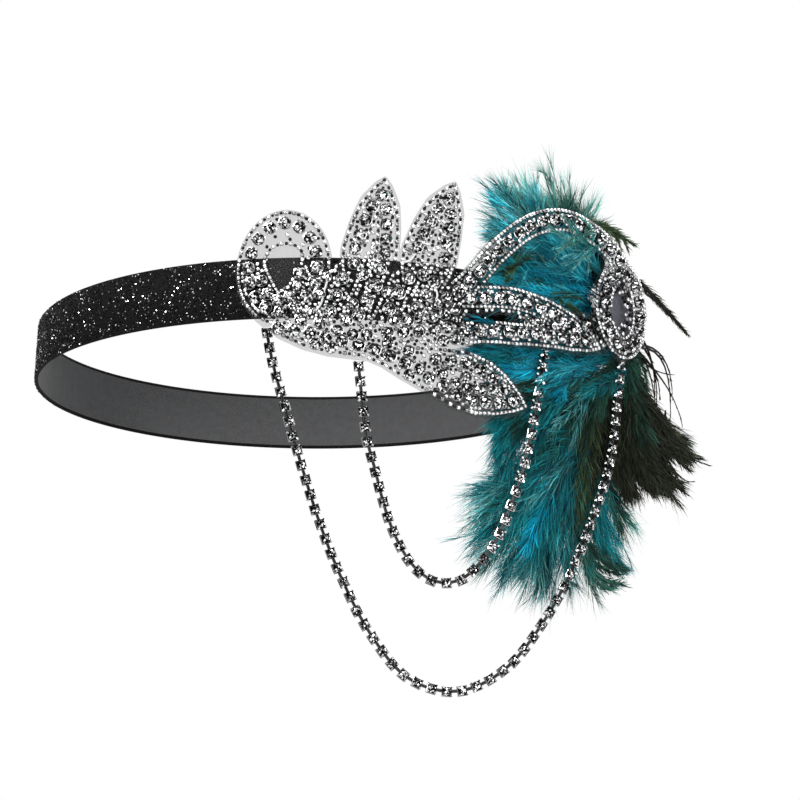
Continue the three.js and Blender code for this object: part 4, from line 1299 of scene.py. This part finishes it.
def add_feathers():
    soft = feather_material("dyed_feather", 0.65, 0.02)
    glossy = feather_material("dark_feather", 0.45, 0.05)
    for name, groups in TEAL_GROUPS.items():
        feather_piece(name, groups, lambda points: wrap(kept_clear(points)), soft,
                      "teal_plume")
    feather_piece("dark_feathers", HACKLE_GROUPS, fan_place, glossy, "dark_hackle")


# Studio
FLOOR_HALF = 4.0
LIGHT_TARGET = (0.03, 0.0, -0.03)

# Area lights: name, place, size and watts
LIGHTS = [
    ("key", (-0.5, -1.3, 0.9), (0.6, 0.6), 24), ("fill", (1.5, -0.9, 0.2), (0.8, 0.8), 9),
    ("top", (0.1, 0.2, 1.5), (0.9, 0.9), 17), ("back", (0.3, 1.5, 0.5), (1.0, 0.7), 8),
]


def area_light(name, place, size, watts):
    light = bpy.data.lights.new(name, "AREA")
    light.shape, light.size, light.size_y = "RECTANGLE", *size
    light.energy = watts
    lamp = bpy.data.objects.new(name, light)
    lamp.location = place
    lamp.rotation_euler = (Vector(LIGHT_TARGET) - Vector(place)).to_track_quat("-Z", "Y").to_euler()
    bpy.context.scene.collection.objects.link(lamp)


def add_floor():
    floor = bpy.data.meshes.new("floor")
    corners = [(x * FLOOR_HALF, y * FLOOR_HALF, FLOOR_Z * MM)
               for x, y in ((-1, -1), (1, -1), (1, 1), (-1, 1))]
    floor.from_pydata(corners, [], [(0, 1, 2, 3)])
    paint, _, _ = new_material("floor_paint", Base_Color=(0.8, 0.8, 0.8, 1), Roughness=0.9)
    floor.materials.append(paint)
    ground = bpy.data.objects.new("floor", floor)
    bpy.context.scene.collection.objects.link(ground)


def add_world():
    """White where the camera sees it, softer as light, and mottled black and white where it is mirrored."""
    world = bpy.data.worlds.new("studio")
    bpy.context.scene.world = world
    world.use_nodes = True
    tree = world.node_tree
    tree.nodes.clear()
    output = add_node(tree, "ShaderNodeOutputWorld")
    ways = add_node(tree, "ShaderNodeLightPath")
    seen = add_node(tree, "ShaderNodeBackground", Color=(1, 1, 1, 1), Strength=1.0)
    around = add_node(tree, "ShaderNodeBackground", Color=(0.95, 0.98, 1, 1), Strength=0.42)
    mirrored = add_node(tree, "ShaderNodeBackground", Strength=1.0)
    ramp = add_node(tree, "ShaderNodeValToRGB")
    black, white = ramp.color_ramp.elements
    black.position, black.color = 0.49, (0.012, 0.012, 0.014, 1)
    white.position, white.color = 0.55, (1.5, 1.5, 1.5, 1)
    link(tree, noise_node(tree, 3.2, 1.0, "Generated"), "Fac", ramp, "Fac")
    link(tree, ramp, "Color", mirrored, "Color")

    def choice(ray, other, chosen):
        mix = add_node(tree, "ShaderNodeMixShader")
        link(tree, ways, ray, mix, "Fac")
        link(tree, other, 0, mix, 1)
        link(tree, chosen, 0, mix, 2)
        return mix

    lighting = choice("Is Glossy Ray", around, mirrored)
    link(tree, choice("Is Camera Ray", lighting, seen), 0, output, "Surface")


def add_studio():
    add_floor()
    for light in LIGHTS:
        area_light(*light)
    add_world()
    bpy.context.scene.view_settings.view_transform = "Standard"


def add_camera():
    ahead = Vector((math.sin(CAMERA_YAW) * math.cos(CAMERA_PITCH),
                    math.cos(CAMERA_YAW) * math.cos(CAMERA_PITCH), math.sin(CAMERA_PITCH)))
    level = Vector((math.cos(CAMERA_YAW), -math.sin(CAMERA_YAW), 0))
    upward = level.cross(ahead)
    c, s = math.cos(CAMERA_ROLL), math.sin(CAMERA_ROLL)
    right = level * c + upward * s
    up = upward * c - level * s
    data = bpy.data.cameras.new("camera")
    data.lens, data.sensor_width = CAMERA_LENS, 36
    data.clip_start, data.clip_end = 0.01, 50
    camera = bpy.data.objects.new("camera", data)
    turn = Matrix((right, up, -ahead)).transposed().to_4x4()
    camera.matrix_world = Matrix.Translation(Vector(CAMERA_PLACE) * MM) @ turn
    bpy.context.scene.collection.objects.link(camera)
    bpy.context.scene.camera = camera


crystal = tinted_material("foiled_crystal", 900.0, 0.85, 1.1, Metallic=1.0, Roughness=0.05)
silver = silver_material("bright_silver", 0.14)
bead_silver = silver_material("silver_beads", 0.2)

add_camera()
add_studio()
band_piece()
glitter_piece()
cloth_piece()
pad_piece()
taken = Taken()
sewn_stones(taken)
seed_beads(taken)
white_edges()
for node, chain in CHAINS.items():
    add_chain(node, **chain)
add_feathers()
